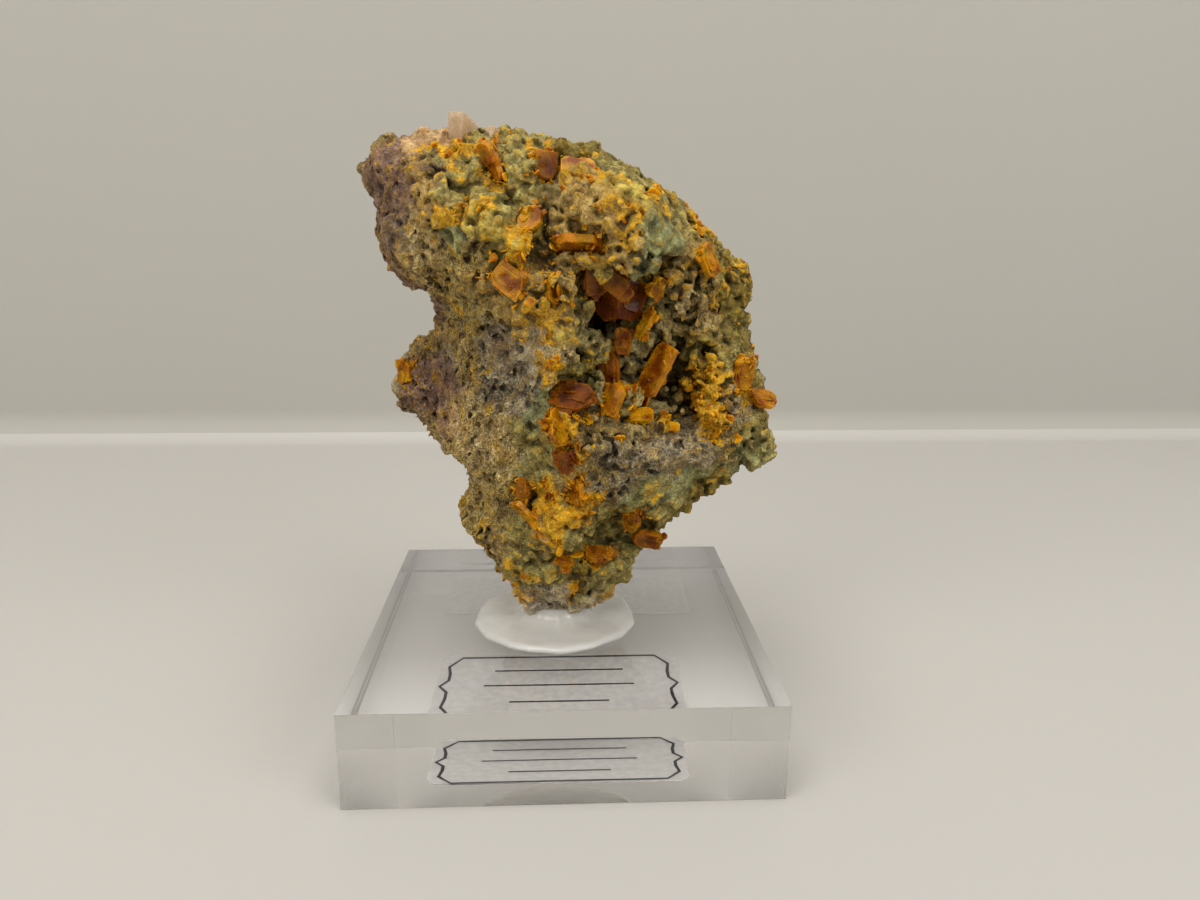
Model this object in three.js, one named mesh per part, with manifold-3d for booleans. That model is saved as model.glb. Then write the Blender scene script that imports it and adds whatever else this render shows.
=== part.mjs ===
// A wulfenite specimen glued to a clear acrylic block. Millimetres, +Z up, with the front on the -Y side.
// The origin is the centre of the block's underside.
import * as THREE from 'three';
import { mergeVertices } from 'three/addons/utils/BufferGeometryUtils.js';
import Module from 'manifold-3d';

const wasm = await Module();
wasm.setup();

// ---------------------------------------------------------------- driving dimensions

const BASE_SIDE = 50.8;
const BASE_HEIGHT = 12;
const SEAT_GAP = 0.3; // room left between a seated piece and what holds it

const FILM_THICKNESS = 0.1;
const FILM_CORNER = 1.8;
const FILM_CORNER_STEPS = 3;
const FRONT_LABEL = { x: -0.7, y: -11.1, length: 31.4, width: 15.2, turn: -1.7 };
const REAR_LABEL = { x: 0.7, y: 15.4, length: 37, width: 13.4, turn: -1.5 };

const PAD_X = -1.2;
const PAD_Y = -1.5;
const PAD_RADIUS = 10.9;
const PAD_RIM = 0.9; // thickness at the rounded rim
const PAD_RIM_ROUND = 0.3; // how far the rim's lower edge is drawn in
const PAD_TOP_RISE = 0.3; // how much the disc thickens from its rim to the collar
const PAD_COLLAR_RADIUS = 8.4; // where the glue starts to climb the rock
const PAD_COLLAR_HEIGHT = 3.6;
const PAD_COLLAR_TOP_RADIUS = 6.5;
const PAD_SIDES = 32;

const FOOT_Z = 14.4; // the lowest level of the rock
const RING_STEPS = 2; // mesh rings from one station to the next
const RAIL_STEPS = 5; // mesh points from one rail to the next
const PLAN_ROUNDING = 0.3; // 0 keeps the corners at the rails sharp, 0.5 rounds them fully
const RISE_ROUNDING = 0.4; // the same, up each rail
const ROUGH_COARSE = { cell: 7.5, depth: 1.7 };
const ROUGH_FINE = { cell: 3.2, depth: 0.9 };
const FOOT_SMOOTH = 6; // height over which the foot goes from smooth, where the glue holds it, to rough

const TABLET_CORNER = 0.2; // cut corner, as a share of the tablet's shorter side
const TABLET_BEVEL = 0.22; // bevelled edge, as a share of the tablet's thickness
const PRISM_SIDES = 6;
const PRISM_ROOT = 1.6; // length of a prism that is sunk in the rock

const WELD = 1e-4; // points closer together than this are one point

// ---------------------------------------------------------------- solids and meshes

function toSolid(geometry) {
  const bare = geometry.clone();
  for (const name of Object.keys(bare.attributes)) {
    if (name !== 'position') bare.deleteAttribute(name);
  }
  const merged = mergeVertices(bare, WELD);
  return new wasm.Manifold(new wasm.Mesh({
    numProp: 3,
    vertProperties: new Float32Array(merged.attributes.position.array),
    triVerts: new Uint32Array(merged.index.array),
  }));
}

function toGeometry(solid) {
  const mesh = solid.getMesh();
  const geometry = new THREE.BufferGeometry();
  geometry.setAttribute('position', new THREE.BufferAttribute(mesh.vertProperties.slice(), 3));
  geometry.setIndex(new THREE.BufferAttribute(mesh.triVerts.slice(), 1));
  geometry.computeVertexNormals();
  return geometry;
}

function largestPiece(solid) {
  const pieces = solid.decompose();
  return pieces.reduce((best, piece) => (piece.volume() > best.volume() ? piece : best));
}

const radians = THREE.MathUtils.degToRad;

// ---------------------------------------------------------------- roughness of broken rock

const HASH_PRIMES = [374761393, 668265263, 2147483647];
const HASH_MIX = 1274126177;
const LARGEST_HASH = 2 ** 32 - 1;

// A repeatable value between -0.5 and 0.5 for each corner of a grid.
function cellValue(ix, iy, iz) {
  const [px, py, pz] = HASH_PRIMES;
  let h = Math.imul(ix, px) ^ Math.imul(iy, py) ^ Math.imul(iz, pz);
  h = Math.imul(h ^ (h >>> 13), HASH_MIX);
  return ((h ^ (h >>> 16)) >>> 0) / LARGEST_HASH - 0.5;
}

function smoothNoise(point, cell) {
  const [x, y, z] = [point.x / cell, point.y / cell, point.z / cell];
  const [ix, iy, iz] = [Math.floor(x), Math.floor(y), Math.floor(z)];
  const ease = (t) => t * t * (3 - 2 * t);
  const [fx, fy, fz] = [ease(x - ix), ease(y - iy), ease(z - iz)];
  let sum = 0;
  for (const dx of [0, 1]) {
    for (const dy of [0, 1]) {
      for (const dz of [0, 1]) {
        const weight = (dx ? fx : 1 - fx) * (dy ? fy : 1 - fy) * (dz ? fz : 1 - fz);
        sum += weight * cellValue(ix + dx, iy + dy, iz + dz);
      }
    }
  }
  return sum;
}

function roughness(point) {
  const coarse = smoothNoise(point, ROUGH_COARSE.cell) * ROUGH_COARSE.depth;
  return coarse + smoothNoise(point, ROUGH_FINE.cell) * ROUGH_FINE.depth;
}

// shareAt gives how much of the roughness a point takes, from 0 to 1.
function roughen(geometry, shareAt = () => 1) {
  geometry.computeVertexNormals();
  const place = geometry.attributes.position;
  const normal = geometry.attributes.normal;
  const point = new THREE.Vector3();
  for (let i = 0; i < place.count; i += 1) {
    point.fromBufferAttribute(place, i);
    const push = shareAt(point) * roughness(point);
    point.addScaledVector(new THREE.Vector3().fromBufferAttribute(normal, i), push);
    place.setXYZ(i, point.x, point.y, point.z);
  }
  return geometry;
}

// ---------------------------------------------------------------- the rock's body

// Eight rails run up the rock. At each station's height every rail has its place in plan, [x, y].
const RAILS = ['left', 'leftFace', 'ridge', 'rightFace', 'right', 'backRight', 'back', 'backLeft'];
const STATIONS = [
  { z: FOOT_Z, left: [-6.2, -1.6], leftFace: [-4.6, -4.6], ridge: [-0.8, -5.6], rightFace: [3.2, -4.6],
    right: [4.8, -1.6], backRight: [3.6, 2.6], back: [-0.6, 4.4], backLeft: [-4.6, 2.6] },
  { z: 18.3, left: [-7.9, -1.8], leftFace: [-5.6, -5.6], ridge: [-0.4, -7.3], rightFace: [5.2, -6.0],
    right: [8.6, -2.0], backRight: [6.4, 4.2], back: [0.0, 7.0], backLeft: [-5.8, 4.4] },
  { z: 21.6, left: [-10.2, -1.4], leftFace: [-7.2, -6.2], ridge: [0.2, -8.6], rightFace: [6.4, -6.8],
    right: [10.4, -2.0], backRight: [8.6, 5.6], back: [0.4, 9.0], backLeft: [-7.4, 6.0] },
  { z: 25.8, left: [-15.0, -0.4], leftFace: [-9.6, -6.4], ridge: [0.8, -10.2], rightFace: [8.6, -7.4],
    right: [14.6, -2.2], backRight: [10.6, 6.6], back: [0.8, 10.8], backLeft: [-9.0, 7.4] },
  { z: 29.0, left: [-14.4, 1.0], leftFace: [-9.8, -6.2], ridge: [1.2, -11.4], rightFace: [10.4, -8.4],
    right: [16.8, -3.0], backRight: [13.6, 7.4], back: [1.0, 12.4], backLeft: [-9.6, 8.8] },
  { z: 32.2, left: [-15.0, 3.4], leftFace: [-10.0, -6.2], ridge: [0.8, -12.8], rightFace: [12.4, -9.2],
    right: [23.6, -2.0], backRight: [17.4, 8.8], back: [1.4, 13.8], backLeft: [-10.2, 10.6] },
  { z: 35.2, left: [-18.2, 7.4], leftFace: [-10.8, -6.2], ridge: [0.0, -13.7], rightFace: [13.0, -10.2],
    right: [28.2, 0.0], backRight: [20.2, 10.6], back: [1.8, 15.2], backLeft: [-12.2, 12.8] },
  { z: 40.2, left: [-19.4, 8.0], leftFace: [-11.6, -5.6], ridge: [-0.7, -14.2], rightFace: [13.4, -9.0],
    right: [28.0, 0.8], backRight: [21.6, 12.2], back: [2.0, 16.4], backLeft: [-13.4, 14.2] },
  { z: 45.6, left: [-19.0, 8.4], leftFace: [-12.0, -5.2], ridge: [-0.8, -14.8], rightFace: [13.0, -8.4],
    right: [26.8, 1.6], backRight: [21.4, 13.0], back: [1.8, 17.4], backLeft: [-13.4, 15.2] },
  { z: 50.4, left: [-17.8, 7.8], leftFace: [-12.8, -5.4], ridge: [-1.6, -15.0], rightFace: [11.6, -9.6],
    right: [25.4, 2.0], backRight: [20.8, 13.2], back: [1.0, 18.0], backLeft: [-13.4, 15.2] },
  { z: 54.6, left: [-18.2, 6.2], leftFace: [-14.2, -5.4], ridge: [-4.2, -14.6], rightFace: [9.6, -11.2],
    right: [24.9, 2.0], backRight: [20.0, 13.2], back: [0.2, 18.0], backLeft: [-14.2, 15.0] },
  { z: 58.4, left: [-22.8, 5.6], leftFace: [-16.8, -5.6], ridge: [-7.0, -13.8], rightFace: [7.0, -12.6],
    right: [24.4, 2.0], backRight: [19.0, 12.8], back: [-1.0, 17.6], backLeft: [-15.8, 15.2] },
  { z: 62.2, left: [-23.8, 4.8], leftFace: [-18.8, -5.8], ridge: [-10.8, -12.2], rightFace: [3.8, -13.8],
    right: [20.2, 1.4], backRight: [15.6, 11.8], back: [-2.8, 16.6], backLeft: [-17.4, 14.8] },
  { z: 66.2, left: [-24.6, 4.2], leftFace: [-20.4, -5.2], ridge: [-13.2, -10.8], rightFace: [0.8, -12.2],
    right: [14.8, 0.8], backRight: [11.0, 10.0], back: [-5.0, 15.2], backLeft: [-18.4, 14.0] },
  { z: 69.8, left: [-25.2, 4.0], leftFace: [-21.8, -3.8], ridge: [-15.6, -8.8], rightFace: [-2.4, -10.2],
    right: [9.0, -1.0], backRight: [5.4, 8.2], back: [-7.6, 13.0], backLeft: [-19.6, 12.4] },
  { z: 72.8, left: [-24.2, 4.0], leftFace: [-21.6, -1.6], ridge: [-16.8, -6.2], rightFace: [-6.2, -7.2],
    right: [2.8, -1.8], backRight: [-0.8, 6.4], back: [-10.2, 10.4], backLeft: [-19.2, 10.2] },
  { z: 74.6, left: [-21.6, 4.0], leftFace: [-19.6, 0.0], ridge: [-15.6, -3.0], rightFace: [-10.0, -3.4],
    right: [-5.2, -0.4], backRight: [-6.4, 4.6], back: [-12.2, 7.4], backLeft: [-18.0, 7.4] },
];

function stationLoop(station, grow) {
  const centre = new THREE.Vector2(...station.back);
  centre.lerp(new THREE.Vector2(...station.ridge), 0.5);
  const corners = RAILS.map((rail) => {
    const out = new THREE.Vector2(...station[rail]).sub(centre);
    out.setLength(out.length() + grow).add(centre);
    return new THREE.Vector3(out.x, out.y, station.z);
  });
  const loop = new THREE.CatmullRomCurve3(corners, true, 'catmullrom', PLAN_ROUNDING);
  const count = RAILS.length * RAIL_STEPS;
  return Array.from({ length: count }, (_, i) => loop.getPoint(i / count));
}

function rockBody(stations, grow = 0) {
  const loops = stations.map((station) => stationLoop(station, grow));
  const columns = loops[0].map((_, i) => {
    const rise = loops.map((loop) => loop[i]);
    return new THREE.CatmullRomCurve3(rise, false, 'catmullrom', RISE_ROUNDING);
  });
  const rings = (stations.length - 1) * RING_STEPS + 1;
  const points = [];
  for (let r = 0; r < rings; r += 1) {
    for (const column of columns) points.push(column.getPoint(r / (rings - 1)));
  }
  const around = columns.length;
  const index = [];
  for (let r = 0; r + 1 < rings; r += 1) {
    for (let i = 0; i < around; i += 1) {
      const [a, b] = [r * around + i, r * around + ((i + 1) % around)];
      index.push(a, b, b + around, a, b + around, a + around);
    }
  }
  const mean = (ring) => ring.reduce((sum, p) => sum.add(p), new THREE.Vector3()).divideScalar(around);
  const bottom = points.push(mean(points.slice(0, around))) - 1;
  const top = points.push(mean(points.slice((rings - 1) * around, rings * around))) - 1;
  for (let i = 0; i < around; i += 1) {
    const next = (i + 1) % around;
    index.push(bottom, next, i);
    index.push(top, (rings - 1) * around + i, (rings - 1) * around + next);
  }
  const geometry = new THREE.BufferGeometry().setFromPoints(points);
  geometry.setIndex(index);
  return geometry;
}

// A boulder-like lump: a rough ellipsoid. Used both as an added lobe and as the shape of a hollow.
function lump({ at, radii, turn = [0, 0, 0], detail = 3 }) {
  const geometry = new THREE.IcosahedronGeometry(1, detail);
  geometry.scale(...radii);
  const tilt = new THREE.Euler(...turn.map(radians));
  geometry.applyMatrix4(new THREE.Matrix4().makeRotationFromEuler(tilt));
  geometry.translate(...at);
  geometry.deleteAttribute('normal');
  geometry.deleteAttribute('uv');
  return toSolid(roughen(mergeVertices(geometry, WELD)));
}

const LOBES = [
  { at: [-18.2, 9.4, 43.8], radii: [4.4, 6.0, 6.6], turn: [0, 10, 0] }, // lobe at the left, behind
  { at: [-20.4, 3.6, 72.8], radii: [2.8, 2.8, 2.4], detail: 2 }, // knob on the top left corner
  { at: [6.6, -8.6, 65.0], radii: [9.0, 7.2, 4.0], turn: [14, 30, 6] }, // shelf that hangs over the vug
  { at: [-6.4, -11.6, 62.0], radii: [4.2, 3.4, 6.6], turn: [0, -24, 0], detail: 2 }, // pale mass
  { at: [-5.0, -8.4, 69.2], radii: [4.4, 3.4, 3.8], detail: 2 }, // green hump under the top edge
  { at: [0.8, -10.2, 29.2], radii: [4.8, 3.6, 4.2], turn: [0, 30, 0], detail: 2 }, // nose below the ledge
  { at: [14.0, -6.6, 37.0], radii: [12.0, 4.2, 3.2], turn: [0, 4, 34], detail: 2 }, // lip of the ledge
  { at: [13.8, 9.6, 36.0], radii: [7.4, 6.4, 6.6], detail: 2 }, // shoulder on the back
];

const HOLLOWS = [
  { at: [9.5, -13.0, 52.4], radii: [9.8, 9.8, 8.8], turn: [0, 20, 0] }, // mouth of the vug
  { at: [14.8, -6.6, 45.6], radii: [6.8, 9.6, 5.6], turn: [0, 16, 0] }, // its deep right end
  { at: [3.6, -14.2, 46.4], radii: [5.4, 4.6, 4.8], detail: 2 }, // its floor at the left
  { at: [4.6, -6.4, 54.4], radii: [2.0, 9.0, 3.6], detail: 2 }, // slot at its top left
  { at: [7.6, -9.8, 25.4], radii: [6.0, 6.2, 4.8], turn: [0, -14, 0], detail: 2 }, // cavity under the ledge
  { at: [-2.0, 19.4, 56.0], radii: [7.6, 5.0, 6.4], turn: [0, 24, 0], detail: 2 }, // hollow on the back
];

// ---------------------------------------------------------------- crystals

// A tablet's place: its length runs along `along` and its thickness along `facing`.
function tabletPlace({ at, along, facing }) {
  const normal = new THREE.Vector3(...facing).normalize();
  const length = new THREE.Vector3(...along);
  length.addScaledVector(normal, -length.dot(normal)).normalize();
  const width = new THREE.Vector3().crossVectors(normal, length);
  return new THREE.Matrix4().makeBasis(length, width, normal).setPosition(...at);
}

// A square wulfenite tablet with cut corners and bevelled edges. Its size is [length, width, thickness].
function tabletGeometry(tablet) {
  const [length, width, thickness] = tablet.size;
  const corner = Math.min(length, width) * TABLET_CORNER;
  const bevel = thickness * TABLET_BEVEL;
  const [x, y] = [length / 2, width / 2];
  const outline = new THREE.Shape([
    [x - corner, -y], [x, corner - y], [x, y - corner], [x - corner, y],
    [corner - x, y], [-x, y - corner], [-x, corner - y], [corner - x, -y],
  ].map(([px, py]) => new THREE.Vector2(px, py)));
  const geometry = new THREE.ExtrudeGeometry(outline, {
    depth: thickness - 2 * bevel,
    bevelThickness: bevel,
    bevelSize: bevel,
    bevelOffset: -bevel,
    bevelSegments: 1,
  });
  geometry.translate(0, 0, bevel - thickness / 2);
  return geometry.applyMatrix4(tabletPlace(tablet));
}

// The room that a tablet's root takes in the rock.
function socketGeometry(tablet) {
  const room = tablet.size.map((side) => side + 2 * SEAT_GAP);
  return new THREE.BoxGeometry(...room).applyMatrix4(tabletPlace(tablet));
}

// Wulfenite crystals. Tablets listed under one name grew into each other and are one solid.
const CRYSTALS = {
  upper_blade: [
    { at: [-7.9, -9.6, 71.0], size: [4.6, 3.6, 1.0], along: [0.44, 0, -0.9], facing: [-0.86, -0.36, -0.36] }],
  upper_amber: [
    { at: [-2.0, -10.0, 70.6], size: [3.2, 2.6, 1.0], along: [0.1, 0.3, 1], facing: [0.25, -0.95, 0.1] }],
  upper_salmon: [
    { at: [1.8, -9.8, 70.0], size: [4.2, 3.6, 1.1], along: [1, 0.1, -0.1], facing: [0.1, -0.75, 0.66] }],
  front_orange: [
    { at: [-3.5, -13.2, 64.8], size: [2.8, 2.4, 1.0], along: [0.7, 0, 0.7], facing: [-0.3, -0.9, 0.3] }],
  salmon_plate: [
    { at: [-6.2, -15.0, 58.2], size: [4.4, 3.6, 1.0], along: [0.8, 0, -0.6], facing: [-0.2, -0.95, 0.2] }],
  rib_tablet: [
    { at: [-1.2, -14.0, 57.0], size: [2.8, 2.2, 0.9], along: [0.2, 0, 1], facing: [0.8, -0.55, 0.1] }],
  shelf_plate: [
    { at: [1.8, -13.4, 62.0], size: [5.2, 4.2, 1.1], along: [1, 0, -0.2], facing: [0, -0.42, -0.9] }],
  vug_broad: [
    { at: [3.8, -9.8, 58.2], size: [4.4, 3.4, 1.1], along: [0.1, -0.1, -1], facing: [0.3, -0.95, -0.1] },
    { at: [6.2, -10.7, 57.6], size: [4.4, 2.6, 0.9], along: [0.75, -0.1, -0.65], facing: [-0.3, -0.9, -0.3] }],
  vug_pair: [
    { at: [5.4, -7.8, 55.2], size: [4.2, 2.9, 1.2], along: [0, 0, 1], facing: [-0.4, -0.92, 0] },
    { at: [8.0, -7.6, 55.4], size: [4.6, 3.4, 1.2], along: [0.3, 0, 0.95], facing: [0.35, -0.94, 0.1] }],
  vug_pillar: [
    { at: [7.1, -8.8, 50.9], size: [3.2, 2.0, 1.1], along: [0.12, 0, 1], facing: [-0.2, -0.98, 0] }],
  vug_thin: [
    { at: [9.7, -9.6, 53.0], size: [3.8, 2.6, 0.6], along: [0.48, 0, 0.88], facing: [-0.84, -0.3, 0.45] }],
  vug_yellow: [
    { at: [10.9, -9.2, 57.2], size: [2.6, 1.8, 0.8], along: [0.5, 0, 0.86], facing: [0.5, -0.8, -0.3] }],
  big_blade: [
    { at: [10.9, -8.6, 46.9], size: [7.6, 3.8, 1.2], along: [0.46, -0.05, 0.88], facing: [-0.72, -0.62, 0.3] }],
  mid_lilac: [
    { at: [5.6, -7.6, 47.6], size: [4.0, 2.4, 1.0], along: [0, 0.1, 1], facing: [-0.35, -0.93, 0] }],
  floor_brown: [
    { at: [1.2, -12.0, 44.8], size: [4.8, 3.8, 1.3], along: [0.95, 0, -0.2], facing: [-0.15, -0.85, 0.5] }],
  floor_orange: [
    { at: [5.8, -11.2, 44.4], size: [4.0, 3.0, 1.2], along: [0.35, 0, 0.93], facing: [-0.6, -0.75, 0.25] }],
  floor_small: [
    { at: [9.2, -10.4, 42.2], size: [3.0, 2.2, 0.8], along: [0.95, 0, 0.1], facing: [0, -0.6, 0.8] }],
  right_top: [
    { at: [17.3, -6.2, 60.2], size: [3.8, 3.0, 1.0], along: [0.5, 0, -0.86], facing: [0.75, -0.6, 0.3] }],
  right_edge: [
    { at: [22.8, -3.4, 46.0], size: [4.4, 3.0, 1.0], along: [0.2, 0, 1], facing: [0.5, -0.86, 0] }],
  right_tip: [
    { at: [25.9, -1.4, 42.4], size: [3.4, 3.0, 0.9], along: [1, 0.1, -0.2], facing: [0.2, -0.5, 0.85] }],
  ridge_blade: [
    { at: [-0.9, -15.0, 41.6], size: [4.2, 3.2, 0.8], along: [0.35, 0, -0.93], facing: [0.86, -0.4, 0.3] }],
  ridge_brown: [
    { at: [0.0, -14.4, 37.9], size: [2.8, 2.4, 1.0], along: [0.4, 0, -0.9], facing: [-0.45, -0.88, -0.2] }],
  ridge_rust: [
    { at: [1.3, -12.8, 33.7], size: [3.4, 2.6, 0.9], along: [0, 0.1, 1], facing: [-0.8, -0.6, 0] }],
  left_brown: [
    { at: [-5.0, -10.2, 32.9], size: [2.4, 1.9, 0.8], along: [-0.3, 0, 0.95], facing: [-0.6, -0.8, 0] }],
  left_blade: [
    { at: [-4.6, -10.2, 29.9], size: [4.0, 2.8, 0.8], along: [0.65, 0, -0.75], facing: [-0.66, -0.45, -0.6] }],
  lower_blade: [
    { at: [8.6, -6.6, 28.6], size: [4.8, 2.4, 0.9], along: [0.05, 0.2, -1], facing: [-0.6, -0.8, 0] }],
  lower_brown: [
    { at: [10.9, -5.6, 24.8], size: [3.8, 2.8, 1.0], along: [0.95, 0.1, -0.2], facing: [-0.1, -0.85, -0.5] }],
  lower_slab: [
    { at: [4.6, -6.6, 23.2], size: [3.8, 2.6, 0.9], along: [1, 0, 0.15], facing: [0, -0.4, 0.9] }],
  lower_small: [
    { at: [-0.2, -9.6, 23.4], size: [2.2, 1.8, 0.8], along: [0.8, 0, -0.5], facing: [0.2, -0.5, 0.85] }],
  lobe_orange: [
    { at: [-21.2, 5.4, 45.0], size: [3.0, 2.4, 1.0], along: [0, 0.2, 1], facing: [-0.6, -0.75, 0.2] }],
  back_upper: [
    { at: [-1.4, 15.2, 57.2], size: [5.4, 4.2, 1.2], along: [0.5, 0.2, 0.8], facing: [-0.5, 0.8, 0.2] }],
  back_middle: [
    { at: [3.6, 16.6, 52.2], size: [4.4, 3.4, 1.0], along: [0.9, 0, -0.3], facing: [0.1, 0.9, 0.5] }],
  back_lower: [
    { at: [9.2, 15.2, 38.8], size: [4.6, 3.6, 1.1], along: [0.3, 0.2, 0.9], facing: [0.7, 0.7, -0.1] }],
};

// Pale, stout prisms on the top of the rock, with a sloping end.
const PALE_PRISMS = {
  pale_prism: { at: [-12.0, -1.6, 72.2], radius: 1.65, length: 6.4, slope: 1.0, lean: [4, 6] },
  pale_prism_small: { at: [-9.0, -2.4, 72.6], radius: 1.05, length: 4.4, slope: 0.5, lean: [-6, 22] },
};

function prismGeometry({ at, radius, length, slope, lean }, grow = 0) {
  const wide = radius + grow;
  const geometry = new THREE.CylinderGeometry(wide, wide, length + 2 * grow, PRISM_SIDES, 1);
  geometry.rotateX(Math.PI / 2);
  const place = geometry.attributes.position;
  for (let i = 0; i < place.count; i += 1) {
    if (place.getZ(i) > 0) place.setZ(i, place.getZ(i) - slope * Math.max(0, place.getX(i)));
  }
  geometry.translate(0, 0, length / 2 - PRISM_ROOT);
  geometry.rotateY(radians(lean[1]));
  geometry.rotateX(radians(lean[0]));
  geometry.translate(...at);
  return geometry;
}

function crystalSolid(tablets) {
  const solids = tablets.map((tablet) => toSolid(tabletGeometry(tablet)));
  return solids.reduce((joined, solid) => joined.add(solid));
}

function matrixRock() {
  const shareAt = (point) => THREE.MathUtils.smoothstep(point.z, FOOT_Z, FOOT_Z + FOOT_SMOOTH);
  let rock = toSolid(roughen(rockBody(STATIONS), shareAt));
  for (const lobe of LOBES) rock = rock.add(lump(lobe));
  for (const hollow of HOLLOWS) rock = rock.subtract(lump(hollow));
  const sockets = [
    ...Object.values(CRYSTALS).flat().map((tablet) => socketGeometry(tablet)),
    ...Object.values(PALE_PRISMS).map((prism) => prismGeometry(prism, SEAT_GAP)),
  ];
  for (const socket of sockets) rock = rock.subtract(toSolid(socket));
  return largestPiece(rock);
}

// ---------------------------------------------------------------- base, films and glue

function filmShape({ length, width }, grow = 0) {
  const [x, y] = [length / 2 + grow, width / 2 + grow];
  const shape = new THREE.Shape();
  shape.moveTo(FILM_CORNER - x, -y);
  shape.lineTo(x - FILM_CORNER, -y);
  shape.absarc(x - FILM_CORNER, FILM_CORNER - y, FILM_CORNER, -Math.PI / 2, 0, false);
  shape.absarc(x - FILM_CORNER, y - FILM_CORNER, FILM_CORNER, 0, Math.PI / 2, false);
  shape.absarc(FILM_CORNER - x, y - FILM_CORNER, FILM_CORNER, Math.PI / 2, Math.PI, false);
  shape.absarc(FILM_CORNER - x, FILM_CORNER - y, FILM_CORNER, Math.PI, 1.5 * Math.PI, false);
  return shape;
}

function filmGeometry(film) {
  return new THREE.ExtrudeGeometry(filmShape(film), {
    depth: FILM_THICKNESS,
    bevelEnabled: false,
    curveSegments: FILM_CORNER_STEPS,
  });
}

function recess(film) {
  const geometry = new THREE.ExtrudeGeometry(filmShape(film, SEAT_GAP), {
    depth: 2 * FILM_THICKNESS,
    bevelEnabled: false,
    curveSegments: FILM_CORNER_STEPS,
  });
  geometry.translate(0, 0, -FILM_THICKNESS);
  geometry.rotateZ(radians(film.turn));
  geometry.translate(film.x, film.y, 0);
  return toSolid(geometry);
}

function acrylicBase() {
  const block = new THREE.BoxGeometry(BASE_SIDE, BASE_SIDE, BASE_HEIGHT);
  block.translate(0, 0, BASE_HEIGHT / 2);
  return toSolid(block).subtract(recess(FRONT_LABEL)).subtract(recess(REAR_LABEL));
}

// A flat disc with a rounded rim and a collar that climbs the rock's foot.
function gluePad() {
  const collarFoot = PAD_RIM + PAD_TOP_RISE;
  const collarWaist = (collarFoot + PAD_COLLAR_HEIGHT) / 2;
  const profile = [
    [0, 0],
    [PAD_RADIUS - PAD_RIM_ROUND, 0],
    [PAD_RADIUS, PAD_RIM / 2],
    [PAD_RADIUS - PAD_RIM_ROUND, PAD_RIM],
    [PAD_COLLAR_RADIUS, collarFoot],
    [(PAD_COLLAR_RADIUS + PAD_COLLAR_TOP_RADIUS) / 2, collarWaist],
    [PAD_COLLAR_TOP_RADIUS, PAD_COLLAR_HEIGHT],
    [0, PAD_COLLAR_HEIGHT],
  ].map(([r, z]) => new THREE.Vector2(r, z));
  const disc = new THREE.LatheGeometry(profile, PAD_SIDES);
  disc.rotateX(Math.PI / 2);
  disc.translate(PAD_X, PAD_Y, BASE_HEIGHT);
  const foot = STATIONS.slice(0, 3).map((station) => ({ ...station, z: station.z - SEAT_GAP }));
  return toSolid(disc).subtract(toSolid(rockBody(foot, 2 * SEAT_GAP)));
}

// ---------------------------------------------------------------- the object

const FINISHES = {
  acrylic: { color: 0xe9ecee, roughness: 0.03, metalness: 0, transparent: true, opacity: 0.35 },
  glue: { color: 0xd8d4cc, roughness: 0.15, metalness: 0 },
  film: { color: 0xf2f1ec, roughness: 0.25, metalness: 0 },
  rock: { color: 0x94876a, roughness: 0.9, metalness: 0 },
  honey: { color: 0xb5621a, roughness: 0.2, metalness: 0 },
  yellow: { color: 0xd6961e, roughness: 0.25, metalness: 0 },
  pale: { color: 0xb99c82, roughness: 0.25, metalness: 0 },
};

const YELLOW_CRYSTALS = [
  'front_orange', 'vug_thin', 'vug_yellow', 'floor_small', 'ridge_blade', 'left_blade',
];

function piece(name, geometry, finish) {
  const mesh = new THREE.Mesh(geometry, new THREE.MeshStandardMaterial(FINISHES[finish]));
  mesh.name = name;
  return mesh;
}

function filmPiece(name, film) {
  const mesh = piece(name, filmGeometry(film), 'film');
  mesh.position.set(film.x, film.y, 0);
  mesh.rotation.z = radians(film.turn);
  return mesh;
}

function holder() {
  const group = new THREE.Group();
  group.add(piece('acrylic_base', toGeometry(acrylicBase()), 'acrylic'));
  group.add(piece('glue_pad', toGeometry(gluePad()), 'glue'));
  group.add(filmPiece('front_label', FRONT_LABEL));
  group.add(filmPiece('rear_label', REAR_LABEL));
  return group;
}

function specimen() {
  const group = new THREE.Group();
  group.add(piece('matrix_rock', toGeometry(matrixRock()), 'rock'));
  for (const [name, tablets] of Object.entries(CRYSTALS)) {
    const finish = YELLOW_CRYSTALS.includes(name) ? 'yellow' : 'honey';
    group.add(piece(`crystal_${name}`, toGeometry(crystalSolid(tablets)), finish));
  }
  for (const [name, prism] of Object.entries(PALE_PRISMS)) {
    group.add(piece(name, toGeometry(toSolid(prismGeometry(prism))), 'pale'));
  }
  return group;
}

const object = new THREE.Group();
object.add(holder(), specimen());

export default object;
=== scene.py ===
"""A wulfenite specimen on a clear block: the looks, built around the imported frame.

Lengths are in millimetres up to the point where a mesh is made, which is in metres. +Z is up.
"""
import bmesh
import bpy
import math
import numpy as np
import openvdb
from collections import namedtuple
from mathutils import Matrix, Vector
from mathutils.bvhtree import BVHTree
from mathutils.geometry import delaunay_2d_cdt


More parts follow.
